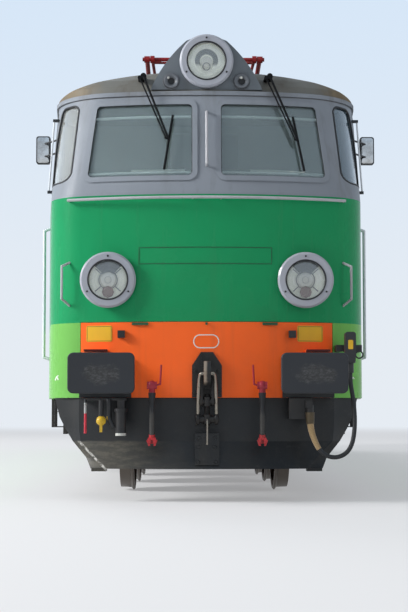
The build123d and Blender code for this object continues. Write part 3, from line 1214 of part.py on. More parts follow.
def nodes():
    """Every node's name with the function that makes its list of shapes."""
    table = [
        ("cab_noses", lambda: at_both_ends([cab_nose()])),
        ("headstocks", lambda: at_both_ends([headstock()])),
        ("cab_window_bands", lambda: at_both_ends([window_band()])),
        ("cab_roofs", lambda: at_both_ends([cab_roof()])),
        ("side_walls", lambda: pair(side_wall())),
        ("side_louvres", louvre_panels),
        ("window_glass", all_glass),
        ("roof_panels", roof_panels),
        ("underframe", lambda: [underframe()]),
        ("bulkheads", lambda: at_both_ends([bulkhead()])),
        ("cab_furniture", lambda: at_both_ends([cab_desk(), cab_seat(-540), cab_seat(540)])),
        ("machinery_block", lambda: [block((-620, 620), (-5600, 5600), (FLOOR_Z[1] + FIT, RAIL + 3350))]),
        ("lamp_fairings", lambda: at_both_ends([lamp_fairing()])),
        ("headlights", lambda: at_both_ends(headlights()[0])),
        ("headlight_lenses", lambda: at_both_ends(headlights()[1])),
        ("end_handrails", lambda: at_both_ends(end_handrails())),
        ("wipers", lambda: at_both_ends([wiper(-1), wiper(1)])),
        ("mirrors", lambda: at_both_ends(pair(mirror_unit()))),
        ("side_handrails", side_handrails),
        ("door_steps", lambda: at_both_ends(pair(door_step()))),
        ("buffer_casings", lambda: at_both_ends([buffer_casing(-BUFFER_X), buffer_casing(BUFFER_X)])),
        ("buffer_heads", lambda: at_both_ends([buffer_head(-BUFFER_X), buffer_head(BUFFER_X)])),
        ("draw_hooks", lambda: at_both_ends([draw_hook()])),
        ("screw_couplings", lambda: at_both_ends([screw_coupling()])),
        ("ploughs", lambda: at_both_ends([plough()])),
        ("end_connections", end_connections),
        ("brake_hose_left", lambda: [brake_hose(-1)]),
        ("brake_hose_right", lambda: [brake_hose(1)]),
        ("hose_heads", lambda: [hose_head(-1), hose_head(1)]),
        ("jumper_cable", lambda: [route_tube([(x, y, RAIL + z) for x, y, z in CABLE_ROUTE], CABLE_D)]),
        ("jumper_plug", lambda: [jumper_plug()]),
        ("underfloor_boxes", underfloor_boxes),
        ("roof_line_gear", roof_line_gear),
        ("roof_insulators", insulators),
        ("door_front_left", lambda: [door(-1, -1)]),
        ("door_front_right", lambda: [door(1, -1)]),
        ("door_rear_left", lambda: [door(-1, 1)]),
        ("door_rear_right", lambda: [door(1, 1)]),
    ]
    for end, sign in (("front", -1), ("rear", 1)):
        bogie, panto = sign * BOGIE_Y, sign * PANTO_Y
        table += [
            (f"bogie_frame_{end}", lambda y=bogie: [bogie_frame(y)]),
            (f"bogie_suspension_{end}", lambda y=bogie: bogie_suspension(y)),
            (f"traction_motors_{end}", lambda y=bogie: traction_motors(y)),
            (f"panto_{end}_lower_a", shifted(panto_lower, panto)),
            (f"panto_{end}_lower_b", shifted(lambda: turned(panto_lower()), panto)),
            (f"panto_{end}_upper_a", shifted(panto_upper, panto)),
            (f"panto_{end}_upper_b", shifted(lambda: turned(panto_upper()), panto)),
            (f"panto_{end}_head", shifted(panto_head, panto)),
        ]
        for i, axle in enumerate((-AXLE_PITCH, 0, AXLE_PITCH)):
            number = i + (1 if sign < 0 else 4)
            table.append((f"wheelset_{number}", lambda y=bogie + axle: [wheelset(y)]))
    return table


if __name__ == "__main__":
    for node_name, make_node in nodes():
        save(node_name, make_node())
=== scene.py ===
"""Paint, glass, rubber and small fittings for a six-axle electric locomotive with a cab at each end.

Metres. X is across, Y along with the photographed end at -Y, Z up from the tips of the wheel flanges.
"""
import math

import bmesh
import bpy
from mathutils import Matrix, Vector
from mathutils.bvhtree import BVHTree


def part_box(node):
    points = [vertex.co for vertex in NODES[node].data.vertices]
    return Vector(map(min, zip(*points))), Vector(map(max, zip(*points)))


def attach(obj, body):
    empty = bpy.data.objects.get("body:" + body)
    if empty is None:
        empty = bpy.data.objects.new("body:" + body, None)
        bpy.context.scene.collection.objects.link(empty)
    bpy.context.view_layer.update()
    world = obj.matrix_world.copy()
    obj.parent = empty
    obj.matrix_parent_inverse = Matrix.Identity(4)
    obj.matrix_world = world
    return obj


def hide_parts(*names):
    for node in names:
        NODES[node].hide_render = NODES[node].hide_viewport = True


bl_info = {
    "name": "Electric locomotive finish",
    "version": (1, 0, 0),
    "blender": (4, 5, 0),
    "location": "3D View > Sidebar > Locomotive",
    "description": "Paints and fits out the packed electric locomotive",
    "category": "Object",
}

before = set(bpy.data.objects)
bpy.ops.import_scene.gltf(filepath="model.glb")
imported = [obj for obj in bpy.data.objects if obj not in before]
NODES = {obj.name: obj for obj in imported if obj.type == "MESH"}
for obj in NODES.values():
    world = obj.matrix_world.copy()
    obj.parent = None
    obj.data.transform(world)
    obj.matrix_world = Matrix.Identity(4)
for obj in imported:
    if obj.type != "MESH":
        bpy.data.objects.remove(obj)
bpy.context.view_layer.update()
RAIL = 0.028
NOSE_Y = -9.0
ENDS = (1, -1)


def srgb(red, green, blue):
    """A linear colour from 0-255 display values."""
    def linear(value):
        value /= 255
        return value / 12.92 if value <= 0.04045 else ((value + 0.055) / 1.055) ** 2.4
    return (linear(red), linear(green), linear(blue), 1.0)


def colour(name, default, description):
    return bpy.props.FloatVectorProperty(name=name, description=description, subtype="COLOR", size=4,
                                         min=0, max=1, default=default)


def length(name, default, description):
    return bpy.props.FloatProperty(name=name, description=description, unit="LENGTH", default=default)


class LivePaint(bpy.types.PropertyGroup):
    """Colours of the paint, rubber and metal."""
    nose_green: colour("Body green", srgb(26, 142, 88), "Body between the lower band and the waist")
    corner_green: colour("Band green", srgb(112, 178, 86), "Lower band beside the buffer beam")
    beam_orange: colour("Beam orange", srgb(254, 106, 42), "Buffer beam")
    window_grey: colour("Window grey", srgb(134, 140, 148), "Window band above the waist")
    roof_brown: colour("Roof brown", srgb(110, 110, 105), "Roof")
    chassis_black: colour("Chassis black", srgb(34, 36, 38), "Plough, steps and underframe")
    buffer_black: colour("Buffer black", srgb(42, 44, 48), "Buffer heads")
    signal_red: colour("Fittings red", srgb(176, 34, 40), "Cocks, hose heads and pantographs")
    plate_yellow: colour("Plate yellow", srgb(228, 178, 34), "Blank plates beside the sockets")
    lamp_grey: colour("Lamp grey", srgb(160, 163, 172), "Headlight bezels")
    housing_grey: colour("Housing grey", srgb(104, 111, 117), "Housing round the top lamp")
    rubber_black: colour("Rubber black", srgb(24, 25, 27), "Hoses, cable and window rubber")


class LiveSizes(bpy.types.PropertyGroup):
    """Heights of the colour bands and sizes of the small fittings."""
    band_top: length("Lower band top", RAIL + 1.516, "Top of the lower band above the flange tips")
    waist: length("Waist", RAIL + 2.627, "Line between body green and window grey")
    plate_width: length("Plate width", 0.227, "Width of the yellow plates")
    plate_height: length("Plate height", 0.141, "Height of the yellow plates")
    bolt_radius: length("Bolt radius", 0.017, "Radius of the plough's bolts")
    screw_radius: length("Screw radius", 0.009, "Radius of the bezel screws")


class LiveStage(bpy.types.PropertyGroup):
    """Camera and light."""
    camera_place: bpy.props.FloatVectorProperty(name="Camera place", description="Where the camera stands",
                                                unit="LENGTH", size=3, default=(-0.185, -21.72, 0.771))
    camera_pitch: bpy.props.FloatProperty(name="Camera pitch", description="Upward tilt", unit="ROTATION",
                                          default=math.radians(4.09))
    camera_yaw: bpy.props.FloatProperty(name="Camera yaw", description="Turn towards +X", unit="ROTATION",
                                        default=math.radians(0.72))
    camera_lens: bpy.props.FloatProperty(name="Lens",
                                         description="Focal length in millimetres on a 36 mm sensor",
                                         min=10, max=300, default=87.06)
    sky_strength: bpy.props.FloatProperty(name="Sky strength", description="Light from all round", min=0, max=5,
                                          default=0.44)
    floor_grey: colour("Floor", (0.80, 0.80, 0.80, 1.0), "Plain floor")
    background: colour("Background", srgb(213, 230, 248), "Sky above the locomotive")
    horizon: colour("Horizon", srgb(230, 236, 243), "Sky low down, and the floor far off")


def paint():
    return bpy.context.scene.live_paint


def sizes():
    return bpy.context.scene.live_sizes


# Shader building

class Shader:
    """A material or node group with short ways to add and join nodes."""

    def __init__(self, tree):
        self.tree = tree

    def add(self, kind, **settings):
        node = self.tree.nodes.new(kind)
        for key, value in settings.items():
            setattr(node, key, value)
        return node

    def join(self, source, target):
        self.tree.links.new(source, target)

    def feed(self, target, value):
        if isinstance(value, bpy.types.NodeSocket):
            self.join(value, target)
        else:
            target.default_value = value

    def maths(self, operation, first, second=0.0, clamp=False):
        node = self.add("ShaderNodeMath", operation=operation, use_clamp=clamp)
        self.feed(node.inputs[0], first)
        self.feed(node.inputs[1], second)
        return node.outputs[0]

    def ramp(self, value, low, high):
        node = self.add("ShaderNodeMapRange", interpolation_type="SMOOTHSTEP")
        self.feed(node.inputs["Value"], value)
        node.inputs["From Min"].default_value = low
        node.inputs["From Max"].default_value = high
        return node.outputs["Result"]

    def mix(self, factor, first, second):
        node = self.add("ShaderNodeMix", data_type="RGBA")
        self.feed(node.inputs["Factor"], factor)
        self.feed(node.inputs[6], first)
        self.feed(node.inputs[7], second)
        return node.outputs[2]

    def place(self, scale=(1, 1, 1)):
        """Object coordinates, scaled along each axis."""
        where = self.add("ShaderNodeTexCoord")
        mapping = self.add("ShaderNodeMapping")
        mapping.inputs["Scale"].default_value = scale
        self.join(where.outputs["Object"], mapping.inputs["Vector"])
        return mapping.outputs["Vector"]

    def noise(self, scale, detail=3.0, roughness=0.5, stretch=(1, 1, 1)):
        node = self.add("ShaderNodeTexNoise")
        node.inputs["Scale"].default_value = scale
        node.inputs["Detail"].default_value = detail
        node.inputs["Roughness"].default_value = roughness
        self.join(self.place(stretch), node.inputs["Vector"])
        return node.outputs["Fac"]

    def axes(self):
        """The separate X, Y and Z of the object coordinates."""
        where = self.add("ShaderNodeTexCoord")
        split = self.add("ShaderNodeSeparateXYZ")
        self.join(where.outputs["Object"], split.inputs[0])
        return split.outputs

    def group(self, name, **values):
        node = self.add("ShaderNodeGroup")
        node.node_tree = bpy.data.node_groups[name]
        for key, value in values.items():
            self.feed(node.inputs[key.replace("_", " ")], value)
        return node.outputs


def new_group(name, inputs, outputs):
    tree = bpy.data.node_groups.new(name, "ShaderNodeTree")
    for label, kind, default in inputs:
        socket = tree.interface.new_socket(label, in_out="INPUT", socket_type=kind)
        socket.default_value = default
    for label, kind in outputs:
        tree.interface.new_socket(label, in_out="OUTPUT", socket_type=kind)
    shader = Shader(tree)
    return shader, shader.add("NodeGroupInput").outputs, shader.add("NodeGroupOutput").inputs


def weathering_group():
    """Dust that lies low and in patches, with rain streaks that run down through it."""
    shader, given, out = new_group(
        "Weathering",
        [("Colour", "NodeSocketColor", (0.5, 0.5, 0.5, 1)),
         ("Dirt", "NodeSocketColor", (0.10, 0.085, 0.065, 1)),
         ("Amount", "NodeSocketFloat", 0.3), ("Streaks", "NodeSocketFloat", 0.3),
         ("Low", "NodeSocketFloat", 0.3), ("High", "NodeSocketFloat", 2.5),
         ("Roughness", "NodeSocketFloat", 0.35)],
        [("Colour", "NodeSocketColor"), ("Roughness", "NodeSocketFloat"), ("Dirt", "NodeSocketFloat")])
    streaks = shader.noise(1.0, 4, 0.6, (9, 9, 0.45))
    streaks = shader.ramp(streaks, 0.50, 0.78)
    patches = shader.ramp(shader.noise(2.3, 6, 0.62), 0.38, 0.78)
    height = shader.add("ShaderNodeMapRange", interpolation_type="LINEAR")
    shader.join(shader.axes()["Z"], height.inputs["Value"])
    shader.join(given["Low"], height.inputs["From Min"])
    shader.join(given["High"], height.inputs["From Max"])
    height.inputs["To Min"].default_value = 1.0
    height.inputs["To Max"].default_value = 0.25
    patches = shader.maths("MULTIPLY", patches, height.outputs[0])
    patches = shader.maths("MULTIPLY", patches, given["Amount"])
    streaks = shader.maths("MULTIPLY", streaks, given["Streaks"])
    dirt = shader.maths("ADD", patches, streaks, clamp=True)
    tint = shader.ramp(shader.noise(0.9, 2, 0.5), 0.25, 0.75)
    fade = shader.add("ShaderNodeHueSaturation")
    shader.join(given["Colour"], fade.inputs["Color"])
    shader.join(shader.maths("ADD", shader.maths("MULTIPLY", tint, 0.12), 0.94), fade.inputs["Value"])
    shader.join(shader.mix(dirt, fade.outputs[0], given["Dirt"]), out["Colour"])
    rough = shader.maths("ADD", given["Roughness"], shader.maths("MULTIPLY", dirt, 0.45), clamp=True)
    shader.join(rough, out["Roughness"])
    shader.join(dirt, out["Dirt"])


def sheet_group():
    """The slight waviness of large pressed sheets, with fine orange peel."""
    shader, given, out = new_group(
        "Sheet waves", [("Waves", "NodeSocketFloat", 0.5), ("Peel", "NodeSocketFloat", 0.1)],
        [("Height", "NodeSocketFloat")])
    waves = shader.maths("MULTIPLY", shader.noise(1.6, 1, 0.4), given["Waves"])
    peel = shader.maths("MULTIPLY", shader.noise(180, 2, 0.5), given["Peel"])
    shader.join(shader.maths("ADD", waves, peel), out["Height"])


def wear_group():
    """Scratches and rubbed patches that show a second colour."""
    shader, given, out = new_group(
        "Wear", [("Colour", "NodeSocketColor", (0.1, 0.1, 0.1, 1)),
                 ("Bare", "NodeSocketColor", (0.3, 0.3, 0.3, 1)),
                 ("Amount", "NodeSocketFloat", 0.3), ("Scale", "NodeSocketFloat", 14.0)],
        [("Colour", "NodeSocketColor"), ("Mask", "NodeSocketFloat")])
    texture = shader.add("ShaderNodeTexNoise")
    texture.inputs["Detail"].default_value = 8
    texture.inputs["Roughness"].default_value = 0.72
    shader.join(shader.place((1, 1, 1.6)), texture.inputs["Vector"])
    shader.join(given["Scale"], texture.inputs["Scale"])
    spots = shader.ramp(texture.outputs["Fac"], 0.56, 0.72)
    mask = shader.maths("MULTIPLY", spots, given["Amount"], clamp=True)
    shader.join(shader.mix(mask, given["Colour"], given["Bare"]), out["Colour"])
    shader.join(mask, out["Mask"])


def material(name, roughness=0.5, metallic=0.0, coat=0.0):
    """An empty material with its Principled shader; returns the material, its Shader and the shader's inputs."""
    made = bpy.data.materials.new(name)
    made.use_nodes = True
    made.node_tree.nodes.clear()
    shader = Shader(made.node_tree)
    surface = shader.add("ShaderNodeBsdfPrincipled")
    output = shader.add("ShaderNodeOutputMaterial")
    shader.join(surface.outputs[0], output.inputs["Surface"])
    surface.inputs["Roughness"].default_value = roughness
    surface.inputs["Metallic"].default_value = metallic
    surface.inputs["Coat Weight"].default_value = coat
    surface.inputs["Coat Roughness"].default_value = 0.08
    return made, shader, surface.inputs


def bumped(shader, inputs, height, strength, distance):
    bump = shader.add("ShaderNodeBump")
    bump.inputs["Strength"].default_value = strength
    bump.inputs["Distance"].default_value = distance
    shader.join(height, bump.inputs["Height"])
    shader.join(bump.outputs[0], inputs["Normal"])


def coachwork(name, base, amount=0.25, streaks=0.25, roughness=0.3, coat=0.15, waves=1.0, low=0.4, high=3.0,
              specular=0.3):
    """Gloss paint on sheet metal. base is a colour, or a function that builds one from the Shader."""
    made, shader, inputs = material(name, roughness, coat=coat)
    inputs["Specular IOR Level"].default_value = specular
    start = base(shader) if callable(base) else base
    worn = shader.group("Weathering", Colour=start, Amount=amount, Streaks=streaks, Roughness=roughness,
                        Low=low, High=high)
    shader.join(worn["Colour"], inputs["Base Color"])
    shader.join(worn["Roughness"], inputs["Roughness"])
    bumped(shader, inputs, shader.group("Sheet waves", Waves=waves, Peel=0.02)["Height"], 0.35, 0.01)
    return made


def body_bands(shader):
    """Light green low down, body green to the waist and grey above it."""
    height = shader.axes()["Z"]
    lower = shader.maths("GREATER_THAN", height, sizes().band_top)
    upper = shader.maths("GREATER_THAN", height, sizes().waist)
    base = shader.mix(lower, tuple(paint().corner_green), tuple(paint().nose_green))
    return shader.mix(upper, base, tuple(paint().window_grey))


def rough_iron(name, base, bare, amount=0.5, scale=14.0, roughness=0.6, dirt=0.4, metallic=0.0, specular=0.5):
    """Painted or oily iron with rubbed patches and dust."""
    made, shader, inputs = material(name, roughness, metallic)
    inputs["Specular IOR Level"].default_value = specular
    start = base(shader) if callable(base) else base
    worn = shader.group("Wear", Colour=start, Bare=bare, Amount=amount, Scale=scale)
    dusty = shader.group("Weathering", Colour=worn["Colour"], Amount=dirt, Streaks=dirt * 0.5,
                         Roughness=roughness, Low=0.2, High=1.6)
    shader.join(dusty["Colour"], inputs["Base Color"])
    shader.join(dusty["Roughness"], inputs["Roughness"])
    bumped(shader, inputs, shader.noise(60, 6, 0.6), 0.25, 0.004)
    return made


def band_colours(shader):
    """Window grey with a painted shadow line in the crease under the gutter."""
    z = shader.axes()["Z"]
    # painted shadow: a narrow dark line just under the gutter, where its shade falls
    near = shader.maths("ABSOLUTE", shader.maths("SUBTRACT", z, RAIL + 3.543))
    painted_gutter_shadow = shader.maths("MULTIPLY", shader.ramp(near, 0.011, 0.002), 0.6)
    return shader.mix(painted_gutter_shadow, tuple(paint().window_grey), srgb(76, 72, 68))


def roof_colours(shader):
    """Brown over the roof, rusty and sandy towards its corners, and window grey on the gutter below it."""
    x, _, z = shader.axes()[:3]
    rust = shader.ramp(shader.maths("ADD", shader.maths("ABSOLUTE", x),
                                    shader.maths("MULTIPLY", shader.noise(4, 5, 0.65), 0.8)),
                       1.30, 1.80)
    brown = shader.mix(rust, tuple(paint().roof_brown), srgb(126, 110, 84))
    gutter = shader.maths("LESS_THAN", z, RAIL + 3.583)
    return shader.mix(gutter, brown, tuple(paint().window_grey))


def side_rail_colours(shader):
    """Pale rails, with the dark end blocks of the rail beside each cab window."""
    z = shader.axes()["Z"]
    ends = [shader.maths("LESS_THAN", shader.maths("ABSOLUTE", shader.maths("SUBTRACT", z, RAIL + height)),
                         0.013)
            for height in (2.748, 3.409)]
    return shader.mix(shader.maths("MAXIMUM", *ends), srgb(216, 221, 226), srgb(44, 46, 50))


def buffer_steel():
    """Black buffer heads, scuffed grey and greasy round the middle of each."""
    made, shader, inputs = material("Buffer head", 0.55, 0.3)
    x, _, z = shader.axes()[:3]
    across = shader.maths("DIVIDE", shader.maths("SUBTRACT", shader.maths("ABSOLUTE", x), 0.875), 0.20)
    up = shader.maths("DIVIDE", shader.maths("SUBTRACT", z, RAIL + 1.05), 0.10)
    far = shader.maths("ADD", shader.maths("POWER", across, 2), shader.maths("POWER", up, 2))
    ragged = shader.maths("ADD", shader.maths("SQRT", far),
                          shader.maths("MULTIPLY", shader.noise(9, 8, 0.7), 1.7))
    scuff = shader.ramp(ragged, 1.85, 1.35)
    streaky = shader.ramp(shader.noise(1.0, 8, 0.75, (30, 30, 70)), 0.42, 0.75)
    base = shader.mix(scuff, tuple(paint().buffer_black), srgb(48, 48, 48))
    bare = shader.maths("MULTIPLY", scuff, streaky)
    shader.join(shader.mix(bare, base, srgb(88, 88, 89)), inputs["Base Color"])
    shader.join(shader.maths("SUBTRACT", 0.55, shader.maths("MULTIPLY", bare, 0.12)), inputs["Roughness"])
    bumped(shader, inputs, ragged, 0.3, 0.003)
    return made


def beam_colours(shader):
    """Orange on the plate, dark red-brown on the treads that stand out from it."""
    _, y, _ = shader.axes()[:3]
    tread = shader.maths("GREATER_THAN", shader.maths("ABSOLUTE", y), 9.004)
    return shader.mix(tread, tuple(paint().beam_orange), srgb(72, 30, 30))


def plough_colours(shader):
    """Black above the fold; below it, scraped grey-brown to the left side with painted sunlight there, a painted
    shade towards the right, and a bright scratch along the fold.
    """
    x, y, z = shader.axes()[:3]
    across = shader.maths("MULTIPLY", x, shader.maths("MULTIPLY", shader.maths("SIGN", y), -1.0))
    ragged = shader.maths("ADD", z, shader.maths("MULTIPLY", shader.noise(5, 6, 0.7), 0.03))
    low = shader.ramp(ragged, RAIL + 0.515, RAIL + 0.495)
    # the left side below the fold is lighter: scraped wear and painted sunlight together
    edge = shader.ramp(across, -0.15, -0.95)
    scraped = shader.ramp(shader.noise(1.0, 8, 0.75, (7, 7, 26)), 0.40, 0.72)
    worn = shader.maths("MULTIPLY", low, shader.maths("MULTIPLY", edge, shader.maths("ADD", 0.45, scraped)),
                        clamp=True)
    base = shader.mix(worn, tuple(paint().chassis_black), srgb(84, 81, 72))
    far = shader.maths("ADD", across, shader.maths("SUBTRACT", 1.110, shader.maths("MULTIPLY", shader.maths(
        "SUBTRACT", RAIL + 0.490, z), 1.02)))
    line = shader.ramp(shader.maths("ABSOLUTE", far), 0.022, 0.004)
    broken = shader.ramp(shader.noise(24, 6, 0.7), 0.40, 0.60)
    line = shader.maths("MULTIPLY", shader.maths("MULTIPLY", line, broken), low)
    # painted shade: below the fold the plough darkens to blue-black towards the right, away from the light
    painted_shade = shader.maths("MULTIPLY", low, shader.ramp(across, -0.2, 0.7))
    base = shader.mix(painted_shade, base, srgb(9, 12, 15))
    return shader.mix(line, base, srgb(196, 194, 188))


def fitting_colours(shader):
    """Red cocks and lever, a yellow cock, a pale cap and black for the rest, told apart by their places."""
    x, y, z = shader.axes()[:3]
    across = shader.maths("MULTIPLY", x, shader.maths("MULTIPLY", shader.maths("SIGN", y), -1.0))

    def within(value, low, high):
        return shader.maths("MULTIPLY", shader.maths("GREATER_THAN", value, low),
                            shader.maths("LESS_THAN", value, high))
    far = shader.maths("ABSOLUTE", across)
    cocks = shader.maths("MULTIPLY", within(far, 0.36, 0.535), within(z, RAIL + 0.88, RAIL + 1.20))
    lever = within(across, -1.07, -1.015)
    handle = shader.maths("MULTIPLY", lever, shader.maths("LESS_THAN", z, RAIL + 0.73))
    shank = shader.maths("MULTIPLY", lever, within(z, RAIL + 0.73, RAIL + 0.82))
    yellow = shader.maths("MULTIPLY", within(across, -0.945, -0.848),
                          shader.maths("LESS_THAN", z, RAIL + 0.705))
    pale = shader.maths("MULTIPLY", within(across, -0.785, -0.685), shader.maths("LESS_THAN", z, RAIL + 0.562))
    base = shader.mix(cocks, srgb(33, 34, 36), srgb(154, 32, 50))
    base = shader.mix(handle, base, srgb(196, 46, 64))
    base = shader.mix(shank, base, srgb(168, 168, 166))
    base = shader.mix(yellow, base, srgb(206, 168, 44))
    return shader.mix(pale, base, srgb(190, 190, 184))


def hook_colours(shader):
    """Black, with the left flank of the hook's nose bright: rubbed steel and a painted highlight from the light on
    that side.
    """
    x, y, z = shader.axes()[:3]
    across = shader.maths("MULTIPLY", x, shader.maths("MULTIPLY", shader.maths("SIGN", y), -1.0))
    nose = shader.maths("MULTIPLY", shader.ramp(shader.maths("ABSOLUTE", y), 9.255, 9.275),
                        shader.ramp(z, RAIL + 0.96, RAIL + 1.0))
    # painted highlight together with rubbed steel: only the flank towards the light is made bright
    side = shader.ramp(shader.maths("ADD", across, shader.maths("MULTIPLY", shader.noise(20, 5, 0.6), 0.02)),
                       0.014, -0.006)
    return shader.mix(shader.maths("MULTIPLY", nose, side), srgb(34, 33, 32), srgb(150, 134, 118))


def red_gear(shader):
    """Weathered red, with bare carbon on the collectors' upper strips."""
    z = shader.axes()["Z"]
    worn = shader.ramp(shader.noise(7, 6, 0.7), 0.50, 0.72)
    base = shader.mix(worn, srgb(136, 26, 30), srgb(88, 28, 30))
    strip = shader.maths("GREATER_THAN", z, RAIL + 4.315 + 0.170 + 0.0735)
    return shader.mix(strip, base, srgb(70, 66, 62))


def mirror_silver():
    made, shader, inputs = material("Mirror silver", 0.12, 1.0)
    cloudy = shader.ramp(shader.noise(9, 5, 0.65), 0.35, 0.75)
    shader.join(shader.mix(cloudy, srgb(205, 207, 208), srgb(160, 160, 158)), inputs["Base Color"])
    shader.join(shader.maths("ADD", 0.08, shader.maths("MULTIPLY", cloudy, 0.14)), inputs["Roughness"])
    bumped(shader, inputs, shader.noise(14, 2, 0.5), 0.15, 0.003)
    return made


def braided(name):
    """Hose rubber above, a dusty grey braid lower down."""
    made, shader, inputs = material(name, 0.55)
    z = shader.axes()["Z"]
    worn = shader.group("Wear", Colour=tuple(paint().rubber_black), Bare=srgb(74, 71, 66), Amount=0.6,
                        Scale=26.0)
    weave = shader.add("ShaderNodeTexWave", wave_type="BANDS", bands_direction="DIAGONAL")
    weave.inputs["Scale"].default_value = 70
    shader.join(shader.place(), weave.inputs["Vector"])
    low = shader.ramp(z, RAIL + 0.76, RAIL + 0.70)
    grey = shader.mix(weave.outputs["Fac"], srgb(50, 49, 47), srgb(78, 75, 70))
    shader.join(shader.mix(shader.maths("MULTIPLY", low, 0.6), worn["Colour"], grey), inputs["Base Color"])
    bumped(shader, inputs, weave.outputs["Fac"], 0.25, 0.0012)
    return made


def screen_tint_and_painted_light(shader):
    """Grey-green windscreens, and corner panes painted with light: near white on the left, where bright sky shows
    through, and bluer on the right.
    """
    x, y, _ = shader.axes()[:3]
    across = shader.maths("MULTIPLY", x, shader.maths("MULTIPLY", shader.maths("SIGN", y), -1.0))
    # painted light: the left corner pane is made near white and the right one bluer, though the glass is the same
    pale = shader.maths("LESS_THAN", across, -1.10)
    blue = shader.maths("GREATER_THAN", across, 1.10)
    return shader.mix(blue, shader.mix(pale, srgb(172, 190, 190), srgb(252, 254, 250)), srgb(122, 146, 160))


def clear_glass(name, tint, transmission, roughness=0.03):
    made, shader, inputs = material(name, roughness, coat=1.0)
    tint = tint(shader) if callable(tint) else tint
    dusty = shader.group("Weathering", Colour=tint, Dirt=srgb(170, 168, 160), Amount=0.12, Streaks=0.10,
                         Roughness=roughness, Low=2.0, High=4.0)
    shader.join(dusty["Colour"], inputs["Base Color"])
    shader.join(dusty["Roughness"], inputs["Roughness"])
    inputs["Transmission Weight"].default_value = transmission
    inputs["IOR"].default_value = 1.45
    inputs["Coat Roughness"].default_value = 0.02
    return made


def wheel_steel(name, axle_y):
    """Bright tread, dark flange and rusty wheel centre, told apart by the distance from the axle."""
    made, shader, inputs = material(name, 0.5, 0.6)
    _, y, z = shader.axes()[:3]
    y2 = shader.maths("POWER", shader.maths("SUBTRACT", y, axle_y), 2)
    z2 = shader.maths("POWER", shader.maths("SUBTRACT", z, RAIL + 0.625), 2)
    radius = shader.maths("SQRT", shader.maths("ADD", y2, z2))
    rim = shader.ramp(radius, 0.605, 0.622)
    web = shader.group("Wear", Colour=srgb(74, 58, 48), Bare=srgb(104, 78, 60), Amount=0.8, Scale=11.0)
    shader.join(shader.mix(rim, web["Colour"], srgb(98, 92, 86)), inputs["Base Color"])
    shader.join(shader.maths("SUBTRACT", 0.75, shader.maths("MULTIPLY", rim, 0.35)), inputs["Roughness"])
    shader.join(shader.maths("ADD", 0.2, shader.maths("MULTIPLY", rim, 0.75)), inputs["Metallic"])
    bumped(shader, inputs, shader.noise(80, 5, 0.6), 0.2, 0.003)
    return made


def rubber(name, base, bare, scale=30.0):
    made, shader, inputs = material(name, 0.6)
    worn = shader.group("Wear", Colour=base, Bare=bare, Amount=0.5, Scale=scale)
    shader.join(worn["Colour"], inputs["Base Color"])
    bumped(shader, inputs, shader.noise(240, 3, 0.5), 0.3, 0.001)
    return made


def reflector_metal():
    """Cream silvering, with a painted reflection laid dark over a wedge of each lower lamp and an arch of the top
    one.
    """
    made, shader, inputs = material("Lamp reflector", 0.38, 0.45)
    x, _, z = shader.axes()[:3]
    silver = shader.mix(shader.ramp(shader.noise(14, 4, 0.6), 0.3, 0.7), srgb(246, 247, 232),
                        srgb(255, 255, 246))
    # painted reflection: the dark wedges and arch stand for what the reflectors mirror above the bulbs
    out = shader.maths("SUBTRACT", shader.maths("ABSOLUTE", x), 0.855)
    rise = shader.maths("SUBTRACT", z, RAIL + 1.885)
    painted_reflection_wedge = shader.maths("SUBTRACT", shader.maths("MULTIPLY", rise, 1.02), shader.maths("ABSOLUTE", out))
    painted_reflection_wedge = shader.maths("MULTIPLY", shader.ramp(painted_reflection_wedge, -0.004, 0.010),
                         shader.maths("LESS_THAN", z, RAIL + 2.5))
    above = shader.maths("SUBTRACT", z, RAIL + 3.859)
    radius = shader.maths("SQRT",
                          shader.maths("ADD", shader.maths("POWER", x, 2), shader.maths("POWER", above, 2)))
    painted_reflection_arch = shader.maths("MULTIPLY", shader.ramp(radius, 0.054, 0.064), shader.ramp(radius, 0.106, 0.098))
    painted_reflection_arch = shader.maths("MULTIPLY", painted_reflection_arch, shader.ramp(above, -0.055, -0.020))
    painted_reflection_arch = shader.maths("MULTIPLY", painted_reflection_arch, shader.maths("GREATER_THAN", z, RAIL + 3.0))
    painted_reflection = shader.maths("ADD", painted_reflection_wedge, painted_reflection_arch, clamp=True)
    shader.join(shader.mix(painted_reflection, silver, srgb(92, 98, 100)), inputs["Base Color"])
    shader.join(shader.maths("SUBTRACT", 0.15, shader.maths("MULTIPLY", painted_reflection, 0.15)), inputs["Metallic"])
    bumped(shader, inputs, shader.noise(26, 2, 0.5), 0.35, 0.004)
    return made


def fabric(name, base, second):
    made, shader, inputs = material(name, 0.9)
    weave = shader.add("ShaderNodeTexChecker")
    weave.inputs["Scale"].default_value = 420
    shader.join(shader.place(), weave.inputs["Vector"])
    shader.join(shader.mix(weave.outputs["Fac"], base, second), inputs["Base Color"])
    inputs["Sheen Weight"].default_value = 0.3
    bumped(shader, inputs, weave.outputs["Fac"], 0.3, 0.0008)
    return made


